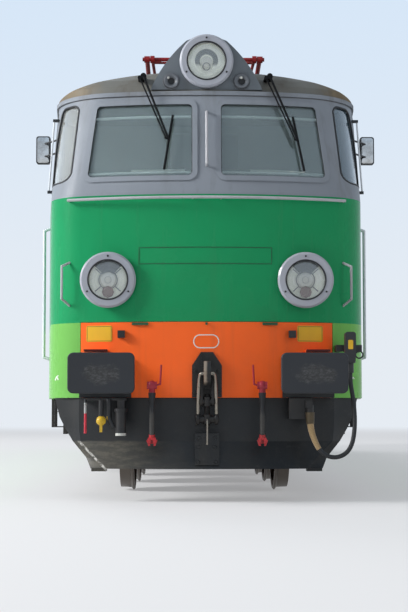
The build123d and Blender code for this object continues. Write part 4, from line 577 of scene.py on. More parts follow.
def finish_of(key):
    """The shared finishes, made once and kept by name."""
    if key in bpy.data.materials:
        return bpy.data.materials[key]
    p = paint()
    black = tuple(p.chassis_black)
    makers = {
        "Body paint": lambda: coachwork(key, body_bands, 0.10, 0.10, 0.26, 0.02, specular=0.12),
        "Beam paint": lambda: coachwork(key, beam_colours, 0.14, 0.14, 0.34, 0.03, low=0.8, high=1.7,
                                        specular=0.16),
        "End fittings": lambda: coachwork(key, fitting_colours, 0.3, 0.2, 0.42, 0.15, waves=0.1, low=0.3,
                                          high=2.0),
        "Pantograph paint": lambda: coachwork(key, red_gear, 0.3, 0.2, 0.5, 0.0, waves=0.1, low=4.0, high=6.0),
        "Mirror silver": mirror_silver,
        "Bulb glass": lambda: clear_glass(key, srgb(244, 244, 238), 0.35),
        "Tan sleeve": lambda: fabric(key, srgb(178, 152, 112), srgb(146, 120, 84)),
        "Spring steel": lambda: rough_iron(key, srgb(52, 50, 48), srgb(92, 84, 74), 0.5, 20.0, 0.5, 0.4, 0.3),
        "Dial face": lambda: coachwork(key, srgb(214, 214, 206), 0.1, 0.05, 0.3, 0.4, waves=0.0),
        "Window band paint": lambda: coachwork(key, band_colours, 0.2, 0.25, 0.46, 0.03, specular=0.18),
        "Roof paint": lambda: coachwork(key, roof_colours, 0.55, 0.4, 0.62, 0.0, low=3.5, high=5.5),
        "Housing paint": lambda: coachwork(key, tuple(p.housing_grey), 0.2, 0.3, 0.5, 0.0, low=3.4, high=4.4),
        # dark green for the board's groove line and for the painted reflection plates on the beam
        "Groove and painted reflection green": lambda: coachwork(key, srgb(34, 84, 56), 0.2, 0.1, 0.4, 0.0, waves=0.1),
        "Rail paint": lambda: coachwork(key, srgb(176, 176, 180), 0.3, 0.2, 0.35, 0.2, waves=0.0),
        "Side rail paint": lambda: coachwork(key, side_rail_colours, 0.1, 0.1, 0.4, 0.0, waves=0.0),
        "Bar paint": lambda: coachwork(key, srgb(250, 252, 250), 0.04, 0.02, 0.35, 0.1, waves=0.0),
        "Lamp paint": lambda: coachwork(key, tuple(p.lamp_grey), 0.25, 0.15, 0.3, 0.4, waves=0.1),
        "Red paint": lambda: coachwork(key, tuple(p.signal_red), 0.35, 0.2, 0.35, 0.3, waves=0.1),
        "Cabin paint": lambda: coachwork(key, srgb(168, 170, 160), 0.2, 0.1, 0.5, 0.0, waves=0.3),
        "Machinery paint": lambda: coachwork(key, srgb(120, 124, 126), 0.4, 0.2, 0.5, 0.0, waves=0.3),
        "Cabin plastic": lambda: rubber(key, srgb(62, 66, 68), srgb(84, 88, 90), 60),
        "Plough iron": lambda: rough_iron(key, plough_colours, srgb(70, 69, 67), 0.25, 7.0, 0.42, 0.15,
                                          specular=0.3),
        "Chassis iron": lambda: rough_iron(key, black, srgb(78, 70, 60), 0.6, 10.0, 0.7, 0.6),
        "Greasy iron": lambda: rough_iron(key, srgb(38, 36, 35), srgb(88, 82, 76), 0.5, 30.0, 0.45, 0.2, 0.5),
        "Hook iron": lambda: rough_iron(key, hook_colours, srgb(88, 82, 76), 0.4, 30.0, 0.42, 0.15, 0.4),
        "Rubbed steel": lambda: rough_iron(key, srgb(150, 142, 130), srgb(70, 64, 58), 0.8, 16.0, 0.36, 0.1,
                                           0.7),
        "Black paint": lambda: rough_iron(key, srgb(30, 31, 33), srgb(70, 70, 70), 0.3, 30.0, 0.45, 0.15),
        "Wiper black": lambda: rough_iron(key, srgb(14, 15, 17), srgb(34, 34, 36), 0.2, 40.0, 0.75, 0.02,
                                          specular=0.15),
        "Horn metal": lambda: coachwork(key, srgb(96, 100, 106), 0.3, 0.1, 0.35, 0.1, waves=0.0, low=3.0,
                                        high=4.5),
        "Gland brown": lambda: rough_iron(key, srgb(84, 72, 52), srgb(150, 136, 104), 0.7, 40.0, 0.45, 0.2,
                                          0.4),
        "Buffer head": buffer_steel,
        "Screen glass": lambda: clear_glass(key, screen_tint_and_painted_light, 0.80),
        "Lamp glass": lambda: clear_glass(key, srgb(250, 252, 250), 0.97),
        "Hose rubber": lambda: rubber(key, tuple(p.rubber_black), srgb(58, 57, 55)),
        "Braided hose": lambda: braided(key),
        "Window rubber": lambda: rubber(key, tuple(p.rubber_black), srgb(46, 46, 48)),
        "Lamp reflector": reflector_metal,
        "Insulator glaze": lambda: coachwork(key, srgb(108, 62, 40), 0.3, 0.2, 0.2, 0.8, waves=0.0),
        "Plate yellow": lambda: coachwork(key, tuple(p.plate_yellow), 0.2, 0.1, 0.4, 0.2, waves=0.1),
        "White paint": lambda: coachwork(key, srgb(222, 222, 216), 0.2, 0.1, 0.5, 0.0, waves=0.0),
        "Marker red": lambda: coachwork(key, srgb(92, 50, 56), 0.15, 0.05, 0.3, 0.6, waves=0.0),
        "Chair cloth": lambda: fabric(key, srgb(58, 66, 84), srgb(44, 50, 66)),
    }
    return makers[key]()


NODE_FINISH = {
    "cab_noses": "Body paint", "side_walls": "Body paint", "door_front_left": "Body paint",
    "door_front_right": "Body paint", "door_rear_left": "Body paint", "door_rear_right": "Body paint",
    "headstocks": "Beam paint", "cab_window_bands": "Window band paint", "side_louvres": "Window band paint",
    "cab_roofs": "Roof paint", "roof_panels": "Roof paint", "lamp_fairings": "Housing paint",
    "window_glass": "Screen glass", "headlight_lenses": "Lamp glass", "headlights": "Lamp paint",
    "underframe": "Chassis iron", "bulkheads": "Cabin paint", "cab_furniture": "Cabin plastic",
    "machinery_block": "Machinery paint", "end_handrails": "Rail paint", "side_handrails": "Side rail paint",
    "wipers": "Wiper black", "mirrors": "Black paint", "door_steps": "Chassis iron",
    "buffer_casings": "Plough iron", "buffer_heads": "Buffer head", "draw_hooks": "Hook iron",
    "screw_couplings": "Greasy iron", "ploughs": "Plough iron", "end_connections": "End fittings",
    "hose_heads": "Red paint", "jumper_plug": "Black paint", "underfloor_boxes": "Chassis iron",
    "roof_line_gear": "Pantograph paint", "roof_insulators": "Insulator glaze",
    "brake_hose_left": "Hose rubber",
    "brake_hose_right": "Hose rubber", "jumper_cable": "Hose rubber",
}


def dress(node, finish):
    slots = NODES[node].data.materials
    slots.clear()
    slots.append(finish)


def settle(obj, finish, body="carbody"):
    """Gives a finished mesh its material and body."""
    obj.data.materials.clear()
    obj.data.materials.append(finish_of(finish) if isinstance(finish, str) else finish)
    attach(obj, body)
    return obj


def mesh_piece(name, build):
    """A new object from a function that fills a bmesh."""
    mesh = bpy.data.meshes.new(name)
    shape = bmesh.new()
    build(shape)
    bmesh.ops.remove_doubles(shape, verts=shape.verts, dist=1e-5)
    bmesh.ops.recalc_face_normals(shape, faces=shape.faces)
    shape.to_mesh(mesh)
    shape.free()
    obj = bpy.data.objects.new(name, mesh)
    bpy.context.collection.objects.link(obj)
    return obj


# Finding places on the body, and copying them to the other cab

def skin_of(node):
    """A ray target made from a node's mesh."""
    mesh = NODES[node].data
    return BVHTree.FromPolygons([tuple(v.co) for v in mesh.vertices],
                                [tuple(p.vertices) for p in mesh.polygons])


def front_of(skin, x, z):
    """The point of a skin that is seen from the front at x, z, and the direction it faces."""
    place, facing, _, _ = skin.ray_cast(Vector((x, -12, z)), Vector((0, 1, 0)))
    if place is None:
        raise RuntimeError(f"nothing to stand on at {x:.3f}, {z:.3f}")
    return place, facing


def copy_to_rear(shape):
    """Adds the same shape at the other cab, turned half round."""
    copy = bmesh.ops.duplicate(shape, geom=shape.verts[:] + shape.edges[:] + shape.faces[:])
    for vert in copy["geom"]:
        if isinstance(vert, bmesh.types.BMVert):
            vert.co = Vector((-vert.co.x, -vert.co.y, vert.co.z))


def lathe(shape, profile, centre, axis="Y", steps=40):
    """Turns rows of (radius, distance) round an axis through centre; a closed profile makes a ring."""
    rows = []
    for radius, along in profile:
        if radius < 1e-6:
            place = (Vector((0, along, 0)) if axis == "Y" else
                     Vector((along, 0, 0)) if axis == "X" else Vector((0, 0, along)))
            rows.append([shape.verts.new(Vector(centre) + place)])
            continue
        row = []
        for i in range(steps):
            a, b = radius * math.cos(math.tau * i / steps), radius * math.sin(math.tau * i / steps)
            place = {"X": (along, a, b), "Y": (a, along, b), "Z": (a, b, along)}[axis]
            row.append(shape.verts.new(Vector(centre) + Vector(place)))
        rows.append(row)
    pairs = list(zip(rows, rows[1:]))
    if profile[0] == profile[-1]:
        pairs[-1] = (rows[-2], rows[0])
        for vert in rows[-1]:
            shape.verts.remove(vert)
    for low, high in pairs:
        for i in range(steps):
            j = (i + 1) % steps
            ring = [low[i % len(low)], low[j % len(low)], high[j % len(high)], high[i % len(high)]]
            unique = list(dict.fromkeys(ring))
            if len(unique) > 2:
                shape.faces.new(unique)


def skin_strip(shape, skin, line, width, thick, closed=True):
    """A flat strip laid on a skin along (x, z) points."""
    count = len(line)
    rows = []
    for i, (x, z) in enumerate(line):
        if closed:
            before, after = line[i - 1], line[(i + 1) % count]
        else:
            before, after = line[max(i - 1, 0)], line[min(i + 1, count - 1)]
        way = Vector((after[0] - before[0], after[1] - before[1])).normalized() * width / 2
        row = []
        for px, pz in ((x + way.y, z - way.x), (x - way.y, z + way.x)):
            place, facing = front_of(skin, px, pz)
            row += [place - facing * 0.001, place + facing * thick]
        rows.append([shape.verts.new(p) for p in row])
    for i in range(count if closed else count - 1):
        a, b = rows[i], rows[(i + 1) % count]
        for j, k in ((0, 1), (1, 3), (3, 2), (2, 0)):
            shape.faces.new((a[j], b[j], b[k], a[k]))
    if not closed:
        for row in (rows[0], rows[-1]):
            shape.faces.new((row[0], row[1], row[3], row[2]))


def skin_plate(shape, skin, x, z, thick, columns=6, corner=0.012):
    """A thin plate bent to the skin, its corners cut."""
    xs = ([x[0], x[0] + corner] + [x[0] + (x[1] - x[0]) * i / columns for i in range(1, columns)]
          + [x[1] - corner, x[1]])
    low_row, high_row = [], []
    for i, px in enumerate(xs):
        cut = corner if i in (0, len(xs) - 1) else 0
        column = []
        for pz in (z[0] + cut, z[1] - cut):
            place, facing = front_of(skin, px, pz)
            column.append([shape.verts.new(place - facing * 0.001), shape.verts.new(place + facing * thick)])
        low_row.append(column[0])
        high_row.append(column[1])
    for i in range(len(xs) - 1):
        a, b, c, d = low_row[i], low_row[i + 1], high_row[i + 1], high_row[i]
        shape.faces.new((a[1], b[1], c[1], d[1]))
        shape.faces.new((a[0], d[0], c[0], b[0]))
        shape.faces.new((a[0], b[0], b[1], a[1]))
        shape.faces.new((d[0], d[1], c[1], c[0]))
    for i in (0, -1):
        shape.faces.new((low_row[i][0], low_row[i][1], high_row[i][1], high_row[i][0]))


def tube_mesh(name, splines, radius, closed=False, kind="POLY"):
    """Round tubes along rows of points, as one mesh."""
    curve = bpy.data.curves.new(name, "CURVE")
    curve.dimensions = "3D"
    curve.bevel_depth = radius
    curve.bevel_resolution = 2
    curve.use_fill_caps = not closed
    for points in splines:
        spline = curve.splines.new(kind)
        spline.points.add(len(points) - 1)
        for point, place in zip(spline.points, points):
            point.co = (*place, 1)
        spline.use_cyclic_u = closed
        if kind == "NURBS":
            spline.order_u = 3
            spline.use_endpoint_u = not closed
    holder = bpy.data.objects.new(name, curve)
    bpy.context.collection.objects.link(holder)
    bpy.context.view_layer.update()
    mesh = bpy.data.meshes.new_from_object(holder.evaluated_get(bpy.context.evaluated_depsgraph_get()))
    bpy.data.objects.remove(holder)
    obj = bpy.data.objects.new(name, mesh)
    bpy.context.collection.objects.link(obj)
    for polygon in mesh.polygons:
        polygon.use_smooth = True
    return obj


def smooth(obj, angle=40):
    """Rounds the shading, keeping edges sharper than the angle."""
    shape = bmesh.new()
    shape.from_mesh(obj.data)
    for face in shape.faces:
        face.smooth = True
    for edge in shape.edges:
        if len(edge.link_faces) == 2 and edge.calc_face_angle(0) > math.radians(angle):
            edge.smooth = False
    shape.to_mesh(obj.data)
    shape.free()
    return obj


# Geometry Nodes for what repeats

def repeat_tree(name, inputs, build):
    """A tree that sets a small shape on every point of a mesh, facing along its "facing" attribute."""
    if name in bpy.data.node_groups:
        return bpy.data.node_groups[name]
    tree = bpy.data.node_groups.new(name, "GeometryNodeTree")
    tree.interface.new_socket("Geometry", in_out="INPUT", socket_type="NodeSocketGeometry")
    for label, kind in inputs:
        tree.interface.new_socket(label, in_out="INPUT", socket_type=kind)
    tree.interface.new_socket("Geometry", in_out="OUTPUT", socket_type="NodeSocketGeometry")
    shader = Shader(tree)
    given = shader.add("NodeGroupInput").outputs
    shape = build(shader, given)
    facing = shader.add("GeometryNodeInputNamedAttribute", data_type="FLOAT_VECTOR")
    facing.inputs["Name"].default_value = "facing"
    turn = shader.add("FunctionNodeAlignRotationToVector", axis="Z")
    shader.join(facing.outputs["Attribute"], turn.inputs["Vector"])
    spread = shader.add("GeometryNodeInstanceOnPoints")
    shader.join(given["Geometry"], spread.inputs["Points"])
    shader.join(shape, spread.inputs["Instance"])
    shader.join(turn.outputs["Rotation"], spread.inputs["Rotation"])
    real = shader.add("GeometryNodeRealizeInstances")
    shader.join(spread.outputs["Instances"], real.inputs["Geometry"])
    finish = shader.add("GeometryNodeSetMaterial")
    shader.join(real.outputs["Geometry"], finish.inputs["Geometry"])
    shader.join(given["Material"], finish.inputs["Material"])
    shader.join(finish.outputs["Geometry"], shader.add("NodeGroupOutput").inputs["Geometry"])
    return tree


def bolt_head(shader, given):
    """A chamfered head: a short cone that stands on the surface."""
    head = shader.add("GeometryNodeMeshCone")
    shader.join(given["Sides"], head.inputs["Vertices"])
    shader.join(given["Radius"], head.inputs["Radius Bottom"])
    shader.join(shader.maths("MULTIPLY", given["Radius"], 0.82), head.inputs["Radius Top"])
    shader.join(given["Height"], head.inputs["Depth"])
    return head.outputs["Mesh"]


def coil(shader, given):
    """A helical spring that stands along the facing direction."""
    line = shader.add("GeometryNodeCurveSpiral")
    line.inputs["Resolution"].default_value = 14
    shader.join(given["Turns"], line.inputs["Rotations"])
    shader.join(given["Radius"], line.inputs["Start Radius"])
    shader.join(given["Radius"], line.inputs["End Radius"])
    shader.join(given["Height"], line.inputs["Height"])
    wire = shader.add("GeometryNodeCurvePrimitiveCircle")
    wire.inputs["Resolution"].default_value = 6
    shader.join(given["Wire"], wire.inputs["Radius"])
    made = shader.add("GeometryNodeCurveToMesh")
    made.inputs["Fill Caps"].default_value = True
    shader.join(line.outputs["Curve"], made.inputs["Curve"])
    shader.join(wire.outputs["Curve"], made.inputs["Profile Curve"])
    return made.outputs["Mesh"]


def repeated(name, spots, tree, values, finish, body="carbody"):
    """One mesh of a small shape repeated on (place, facing) spots."""
    mesh = bpy.data.meshes.new(name)
    mesh.from_pydata([tuple(place) for place, _ in spots], [], [])
    store = mesh.attributes.new("facing", "FLOAT_VECTOR", "POINT")
    for item, (_, facing) in zip(store.data, spots):
        item.vector = facing
    obj = bpy.data.objects.new(name, mesh)
    bpy.context.collection.objects.link(obj)
    modifier = obj.modifiers.new(name, "NODES")
    modifier.node_group = tree
    values = dict(values, Material=finish_of(finish))
    for item in tree.interface.items_tree:
        if item.in_out == "INPUT" and item.name in values:
            modifier[item.identifier] = values[item.name]
    bpy.context.view_layer.update()
    made = bpy.data.meshes.new_from_object(obj.evaluated_get(bpy.context.evaluated_depsgraph_get()))
    obj.modifiers.remove(modifier)
    obj.data = made
    for attribute in [a.name for a in made.attributes if a.name == "facing"]:
        made.attributes.remove(made.attributes[attribute])
    return settle(obj, finish, body)


BOLT_INPUTS = (("Sides", "NodeSocketInt"), ("Radius", "NodeSocketFloat"), ("Height", "NodeSocketFloat"),
               ("Material", "NodeSocketMaterial"))
COIL_INPUTS = (("Turns", "NodeSocketFloat"), ("Radius", "NodeSocketFloat"), ("Height", "NodeSocketFloat"),
               ("Wire", "NodeSocketFloat"), ("Material", "NodeSocketMaterial"))


def bolts(name, spots, radius, height, finish, body="carbody", sides=6):
    tree = repeat_tree("Bolt heads", BOLT_INPUTS, bolt_head)
    return repeated(name, spots, tree, {"Sides": sides, "Radius": radius, "Height": height}, finish, body)


def springs(name, spots, turns, radius, height, wire, finish, body):
    tree = repeat_tree("Coil springs", COIL_INPUTS, coil)
    values = {"Turns": turns, "Radius": radius, "Height": height, "Wire": wire}
    return smooth(repeated(name, spots, tree, values, finish, body), 60)


def both_cabs(spots):
    """The same spots at the other cab too."""
    return spots + [(Vector((-p[0], -p[1], p[2])), Vector((-f[0], -f[1], f[2]))) for p, f in spots]


class LOCO_OT_paint_nodes(bpy.types.Operator):
    """Give every modelled piece its finish"""
    bl_idname = "loco.paint_nodes"
    bl_label = "Paint the body and running gear"

    def execute(self, context):
        weathering_group()
        sheet_group()
        wear_group()
        for node in NODES:
            if node in NODE_FINISH:
                dress(node, finish_of(NODE_FINISH[node]))
            elif node.startswith("wheelset"):
                low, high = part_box(node)
                dress(node, wheel_steel(f"Wheel steel {node[-1]}", (low[1] + high[1]) / 2))
            elif node.startswith("panto"):
                dress(node, finish_of("Pantograph paint"))
            else:
                dress(node, finish_of("Chassis iron"))
        return {"FINISHED"}


# The right brake hose from its cock's outlet down to its coupling head, heights over the rail; the left mirrors it
HOSE_ROUTE = [(0.468, -9.150, 0.9045), (0.468, -9.150, 0.832), (0.468, -9.166, 0.735), (0.468, -9.150, 0.639),
              (0.468, -9.132, 0.551)]
HOSE_RADIUS = 0.021

CABLE_ROUTE = [(0.878, -9.080, 0.739), (0.878, -9.080, 0.655), (0.891, -9.096, 0.560), (0.925, -9.118, 0.471),
               (0.966, -9.132, 0.400), (1.037, -9.140, 0.359), (1.119, -9.142, 0.359), (1.190, -9.138, 0.400),
               (1.231, -9.130, 0.471), (1.250, -9.121, 0.560), (1.257, -9.111, 0.655), (1.255, -9.102, 0.750),
               (1.247, -9.093, 0.845), (1.234, -9.084, 0.930), (1.224, -9.080, 1.005), (1.224, -9.080, 1.075)]
CABLE_RADIUS = 0.019


def cord_curve(name, points, radius):
    curve = bpy.data.curves.new(name, "CURVE")
    curve.dimensions = "3D"
    curve.bevel_depth = radius
    curve.bevel_resolution = 5
    curve.resolution_u = 12
    curve.use_fill_caps = True
    spline = curve.splines.new("NURBS")
    spline.points.add(len(points) - 1)
    for point, place in zip(spline.points, points):
        point.co = (*place, 1)
    spline.order_u = 3
    spline.use_endpoint_u = True
    obj = bpy.data.objects.new(name, curve)
    bpy.context.collection.objects.link(obj)
    return obj


def line_of(cord):
    """Points along a cord's own spline, with the sum of the distances between them."""
    bare = cord.data.copy()
    bare.bevel_depth = 0
    holder = bpy.data.objects.new("line", bare)
    bpy.context.collection.objects.link(holder)
    bpy.context.view_layer.update()
    mesh = bpy.data.meshes.new_from_object(holder.evaluated_get(bpy.context.evaluated_depsgraph_get()))
    points = [v.co.copy() for v in mesh.vertices]
    bpy.data.objects.remove(holder)
    return points, sum((b - a).length for a, b in zip(points, points[1:]))


def sleeve(name, line, start, end, radii, finish):
    """A tapered tube round part of a cord's line, between two distances along it."""
    points, gone = [], 0.0
    total = end - start
    for a, b in zip(line, line[1:]):
        if start <= gone <= end:
            points.append((a, (gone - start) / total))
        gone += (b - a).length
    def build(shape):
        rows = []
        for i, (place, share) in enumerate(points):
            way = (points[min(i + 1, len(points) - 1)][0] - points[max(i - 1, 0)][0]).normalized()
            side = way.cross(Vector((0, 1, 0.01))).normalized()
            up = way.cross(side)
            radius = radii[0] + (radii[1] - radii[0]) * share
            rows.append([shape.verts.new(place + (side * math.cos(t) + up * math.sin(t)) * radius)
                         for t in (math.tau * k / 16 for k in range(16))])
        for low, high in zip(rows, rows[1:]):
            for k in range(16):
                shape.faces.new((low[k], low[(k + 1) % 16], high[(k + 1) % 16], high[k]))
        for row in (rows[0], rows[-1]):
            shape.faces.new(row)
    return settle(smooth(mesh_piece(name, build)), finish)


class LOCO_OT_cords(bpy.types.Operator):
    """Run the two brake hoses and the jumper cable"""
    bl_idname = "loco.cords"
    bl_label = "Hoses and cable"

    def execute(self, context):
        for label, side in (("left", -1), ("right", 1)):
            route = [(side * x, y, RAIL + z) for x, y, z in HOSE_ROUTE]
            hose = settle(cord_curve(f"Brake_hose_{label}", route, HOSE_RADIUS), "Braided hose")
            line, reach = line_of(hose)
            cuff = sleeve(f"Brake_hose_{label}_cuff", line, 0.0, reach * 0.30, (0.032, 0.0225), "Window rubber")
            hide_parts(f"brake_hose_{label}")
        route = [(x, y, RAIL + z) for x, y, z in CABLE_ROUTE]
        cable = settle(cord_curve("Jumper_cable", route, CABLE_RADIUS), "Hose rubber")
        line, reach = line_of(cable)
        gland = sleeve("Jumper_cable_gland", line, 0.0, 0.105, (0.040, 0.034), "Gland brown")
        relief = sleeve("Jumper_cable_sleeve", line, 0.09, 0.335, (0.029, 0.0215), "Tan sleeve")
        plug = skin_of("jumper_plug")
        settle(mesh_piece("Plug_label", lambda shape: skin_plate(
            shape, plug, (1.203, 1.245), (RAIL + 1.276, RAIL + 1.354), 0.0015, 3, 0.004)), "Plate yellow")
        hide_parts("jumper_cable")
        return {"FINISHED"}


def by_index(faces):
    return sorted(faces, key=lambda face: face.index)


def pane_outlines():
    """The border of each pane's outer face: where the pane is, and its points with the way they face."""
    shape = bmesh.new()
    shape.from_mesh(NODES["window_glass"].data)
    bmesh.ops.remove_doubles(shape, verts=shape.verts, dist=1e-5)
    shape.faces.index_update()
    left = set(shape.faces)
    panes = []
    while left:
        island, queue = set(), [by_index(left)[0]]
        while queue:
            face = queue.pop()
            if face in island:
                continue
            island.add(face)
            queue += [near for edge in face.edges for near in edge.link_faces if near not in island]
        left -= island
        island = by_index(island)
        middle = sum((f.calc_center_median() for f in island), Vector()) / len(island)
        inside = Vector((0, max(-7.9, min(7.9, middle.y)), middle.z))
        if abs(middle.y) < 8.4:
            inside.y = middle.y
        outward = (middle - inside).normalized()
        seed = max((f for f in island if f.normal.dot(outward) > 0.55), key=lambda f: f.calc_area())
        region, queue = set(), [seed]
        while queue:
            face = queue.pop()
            if face in region:
                continue
            region.add(face)
            for edge in face.edges:
                for near in edge.link_faces:
                    if near not in region and near.normal.angle(face.normal) < math.radians(35):
                        queue.append(near)
        border = [e for f in by_index(region) for e in f.edges if sum(n in region for n in e.link_faces) == 1]
        follow = {}
        for edge in border:
            for vert in edge.verts:
                follow.setdefault(vert, []).append(edge.other_vert(vert))
        start = border[0].verts[0]
        loop, before, here = [start], None, start
        while True:
            ahead = [v for v in follow[here] if v is not before]
            before, here = here, ahead[0]
            if here is start:
                break
            loop.append(here)
        facings = []
        for vert in loop:
            normals = [f.normal for f in vert.link_faces if f in region]
            facings.append(sum(normals, Vector()).normalized())
        panes.append((middle.copy(), [v.co.copy() for v in loop], facings))
    shape.free()
    return panes


def rubber_bead(name, loops, width, height):
    """Closed beads with a flattened round section, along (points, facings) loops."""
    def build(shape):
        for points, facings in loops:
            count = len(points)
            rows = []
            for i in range(count):
                way = (points[(i + 1) % count] - points[i - 1]).normalized()
                across = facings[i].cross(way).normalized()
                rows.append([shape.verts.new(points[i] + across * (width / 2 * math.cos(t)) + facings[i] * (height / 2 * math.sin(t)))
                             for t in (math.tau * k / 8 for k in range(8))])
            for i in range(count):
                low, high = rows[i], rows[(i + 1) % count]
                for k in range(8):
                    shape.faces.new((low[k], low[(k + 1) % 8], high[(k + 1) % 8], high[k]))
    return settle(smooth(mesh_piece(name, build), 70), "Window rubber")


class LOCO_OT_windows(bpy.types.Operator):
    """Seal the windows and fit the bars behind the windscreens"""
    bl_idname = "loco.windows"
    bl_label = "Window rubber and bars"

    def execute(self, context):
        screens, proud = [], []
        for middle, points, facings in pane_outlines():
            if abs(middle.y) > 8.7 and abs(middle.x) < 1.0:
                screens.append(([p + f * 0.002 for p, f in zip(points, facings)], facings))
            else:
                proud.append(([p + f * 0.012 for p, f in zip(points, facings)], facings))
        rubber_bead("Windscreen_seals", screens, 0.009, 0.010)
        rubber_bead("Window_seals", proud, 0.022, 0.016)

        lean = 0.250 / 0.953
        def screen_y(x, z, behind):
            bow = 3.6 - math.sqrt(3.6 ** 2 - x ** 2)
            return NOSE_Y + bow + lean * (z - RAIL - 2.627) + behind
        bars, whites = [], []
        for side in (-1, 1):
            for z in (RAIL + 3.345, RAIL + 2.826):
                reach = 0.985 if z > RAIL + 3 else 1.035
                xs = [side * (0.135 + (reach - 0.135) * i / 6) for i in range(7)]
                bars.append([(x, screen_y(x, z, 0.034), z) for x in xs])
            start, stop = ((-0.66, -0.19) if side < 0 else (0.38, 0.86))
            xs = [start + (stop - start) * i / 4 for i in range(5)]
            whites.append([(x, screen_y(x, RAIL + 2.846, 0.026), RAIL + 2.846) for x in xs])
        def at_both(lines):
            return lines + [[(-x, -y, z) for x, y, z in line] for line in lines]
        settle(tube_mesh("Screen_bars", at_both(bars), 0.014), "Bar paint")
        settle(tube_mesh("Defroster_bars", at_both(whites), 0.009), "White paint")
        return {"FINISHED"}


class LOCO_OT_lamps(bpy.types.Operator):
    """Fill the headlights and horns"""
    bl_idname = "loco.lamps"
    bl_label = "Headlights and horns"

    def execute(self, context):
        low_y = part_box("headlights")[0][1]
        top_y = NOSE_Y + 0.262 - 0.070
        lamps = [(-0.855, low_y, RAIL + 1.880), (0.855, low_y, RAIL + 1.880), (0.0, top_y, RAIL + 3.847)]

        def bowl(shape):
            for place in lamps:
                rows = []
                for i in range(23):
                    radius = 0.165 * (1 - i / 22)
                    ridge = 0.0022 * math.sin(i * 1.9) if 3 < i < 20 else 0
                    rows.append((radius, 0.086 - (radius / 0.165) ** 2 * 0.0515 + ridge))
                rows = [(0.165, 0.0365)] + rows
                lathe(shape, rows, place, steps=56)
            copy_to_rear(shape)
        reflectors = settle(smooth(mesh_piece("Lamp_reflectors", bowl), 60), "Lamp reflector")
        for polygon in reflectors.data.polygons:
            polygon.use_smooth = True

        def holders(shape):
            for index, place in enumerate(lamps):
                top = index == 2
                middle = Vector(place) + Vector((0, 0, -0.044 if top else 0))
                for wide, thick, deep in (((0.032, 0.005, 0.052),) if top else ((0.079, 0.0045, 0.055),
                                                                                (0.028, 0.006, 0.050))):
                    ring = [(wide + thick * math.cos(t), deep + thick * math.sin(t)) for t in
                            (math.tau * k / 10 for k in range(10))]
                    lathe(shape, ring + ring[:1], middle, steps=40)
                for turn in () if top else (42, 90, 138, 222, 318):
                    out = Vector((math.cos(math.radians(turn)), 0, math.sin(math.radians(turn))))
                    across = Vector((-out.z, 0, out.x))
                    foot = Vector(place) + Vector((0, 0.055, 0))
                    corners = []
                    for reach in (0.080, 0.146):
                        for hand in (-1, 1):
                            deep = 0.014 if reach > 0.1 else 0.0
                            corners.append(foot + out * reach + across * hand * 0.004 + Vector((0, -deep, 0)))
                    high = [shape.verts.new(c) for c in corners]
                    low = [shape.verts.new(c + Vector((0, 0.003, 0))) for c in corners]
                    shape.faces.new((high[0], high[1], high[3], high[2]))
                    shape.faces.new((low[0], low[2], low[3], low[1]))
                    for p, q in ((0, 1), (1, 3), (3, 2), (2, 0)):
                        shape.faces.new((high[p], low[p], low[q], high[q]))
            copy_to_rear(shape)
        settle(smooth(mesh_piece("Bulb_holders", holders)), "Housing paint")

        def bulbs(shape):
            for index, place in enumerate(lamps):
                big = 0.052 if index == 2 else 0.071
                rows = [(big * math.sin(t), 0.064 - big * 0.30 * math.cos(t))
                        for t in (math.pi * k / 20 for k in range(11))]
                rows[0] = (0.0, rows[0][1])
                lathe(shape, rows + [(big * 0.6, 0.074), (0.0, 0.078)], place, steps=32)
            copy_to_rear(shape)
        settle(smooth(mesh_piece("Lamp_bulbs", bulbs)), "Bulb glass")

        def discs(shape):
            for x, y, z in lamps[:2]:
                lathe(shape, [(0.0, 0.034), (0.048, 0.0345), (0.052, 0.038), (0.049, 0.043), (0.0, 0.043)],
                      (x, y, z - 0.104), steps=8)
            copy_to_rear(shape)
        settle(smooth(mesh_piece("Marker_discs", discs), 30), "Marker red")

        def gaskets(shape):
            for place in lamps:
                ring = [(0.171 + 0.007 * math.cos(t), 0.000 + 0.005 * math.sin(t)) for t in
                        (math.tau * k / 8 for k in range(8))]
                lathe(shape, ring + ring[:1], place, steps=64)
            copy_to_rear(shape)
        settle(smooth(mesh_piece("Lens_gaskets", gaskets), 80), "Window rubber")

        screws = []
        for x, y, z in lamps:
            for turn in (90, 210, 330):
                angle = math.radians(turn)
                screws.append((Vector((x + 0.205 * math.cos(angle), y - 0.0015, z + 0.205 * math.sin(angle))),
                               Vector((0, -1, 0))))
        bolts("Bezel_screws", both_cabs(screws), sizes().screw_radius, 0.006, "Greasy iron", sides=10)

        horn_y, horn_z = NOSE_Y + 0.262, RAIL + 3.672
        def bells(shape):
            for side in (-1, 1):
                lathe(shape, [(0.0, 0.004), (0.022, -0.004), (0.030, -0.014), (0.046, -0.0300),
                              (0.058, -0.0345),
                              (0.066, -0.031), (0.060, -0.024), (0.034, -0.002), (0.0, 0.012)],
                      (side * 0.312, horn_y, horn_z), steps=40)
                ring = [(0.072 + 0.005 * math.cos(t), -0.004 + 0.006 * math.sin(t)) for t in
                        (math.tau * k / 8 for k in range(8))]
                lathe(shape, ring + ring[:1], (side * 0.312, horn_y, horn_z), steps=48)
            copy_to_rear(shape)
        settle(smooth(mesh_piece("Horn_bells", bells)), "Horn metal")

        # painted shade: a black disc at the bottom of each shallow bell stands for the dark throat of the horn
        def throat_shade(shape):
            for side in (-1, 1):
                lathe(shape,
                      [(0.0, -0.0055), (0.024, -0.0075), (0.030, -0.0145), (0.030, -0.0105), (0.0, -0.002)],
                      (side * 0.312, horn_y, horn_z), steps=32)
            copy_to_rear(shape)
        settle(smooth(mesh_piece("Horn_painted_throat_shade", throat_shade)), "Window rubber")

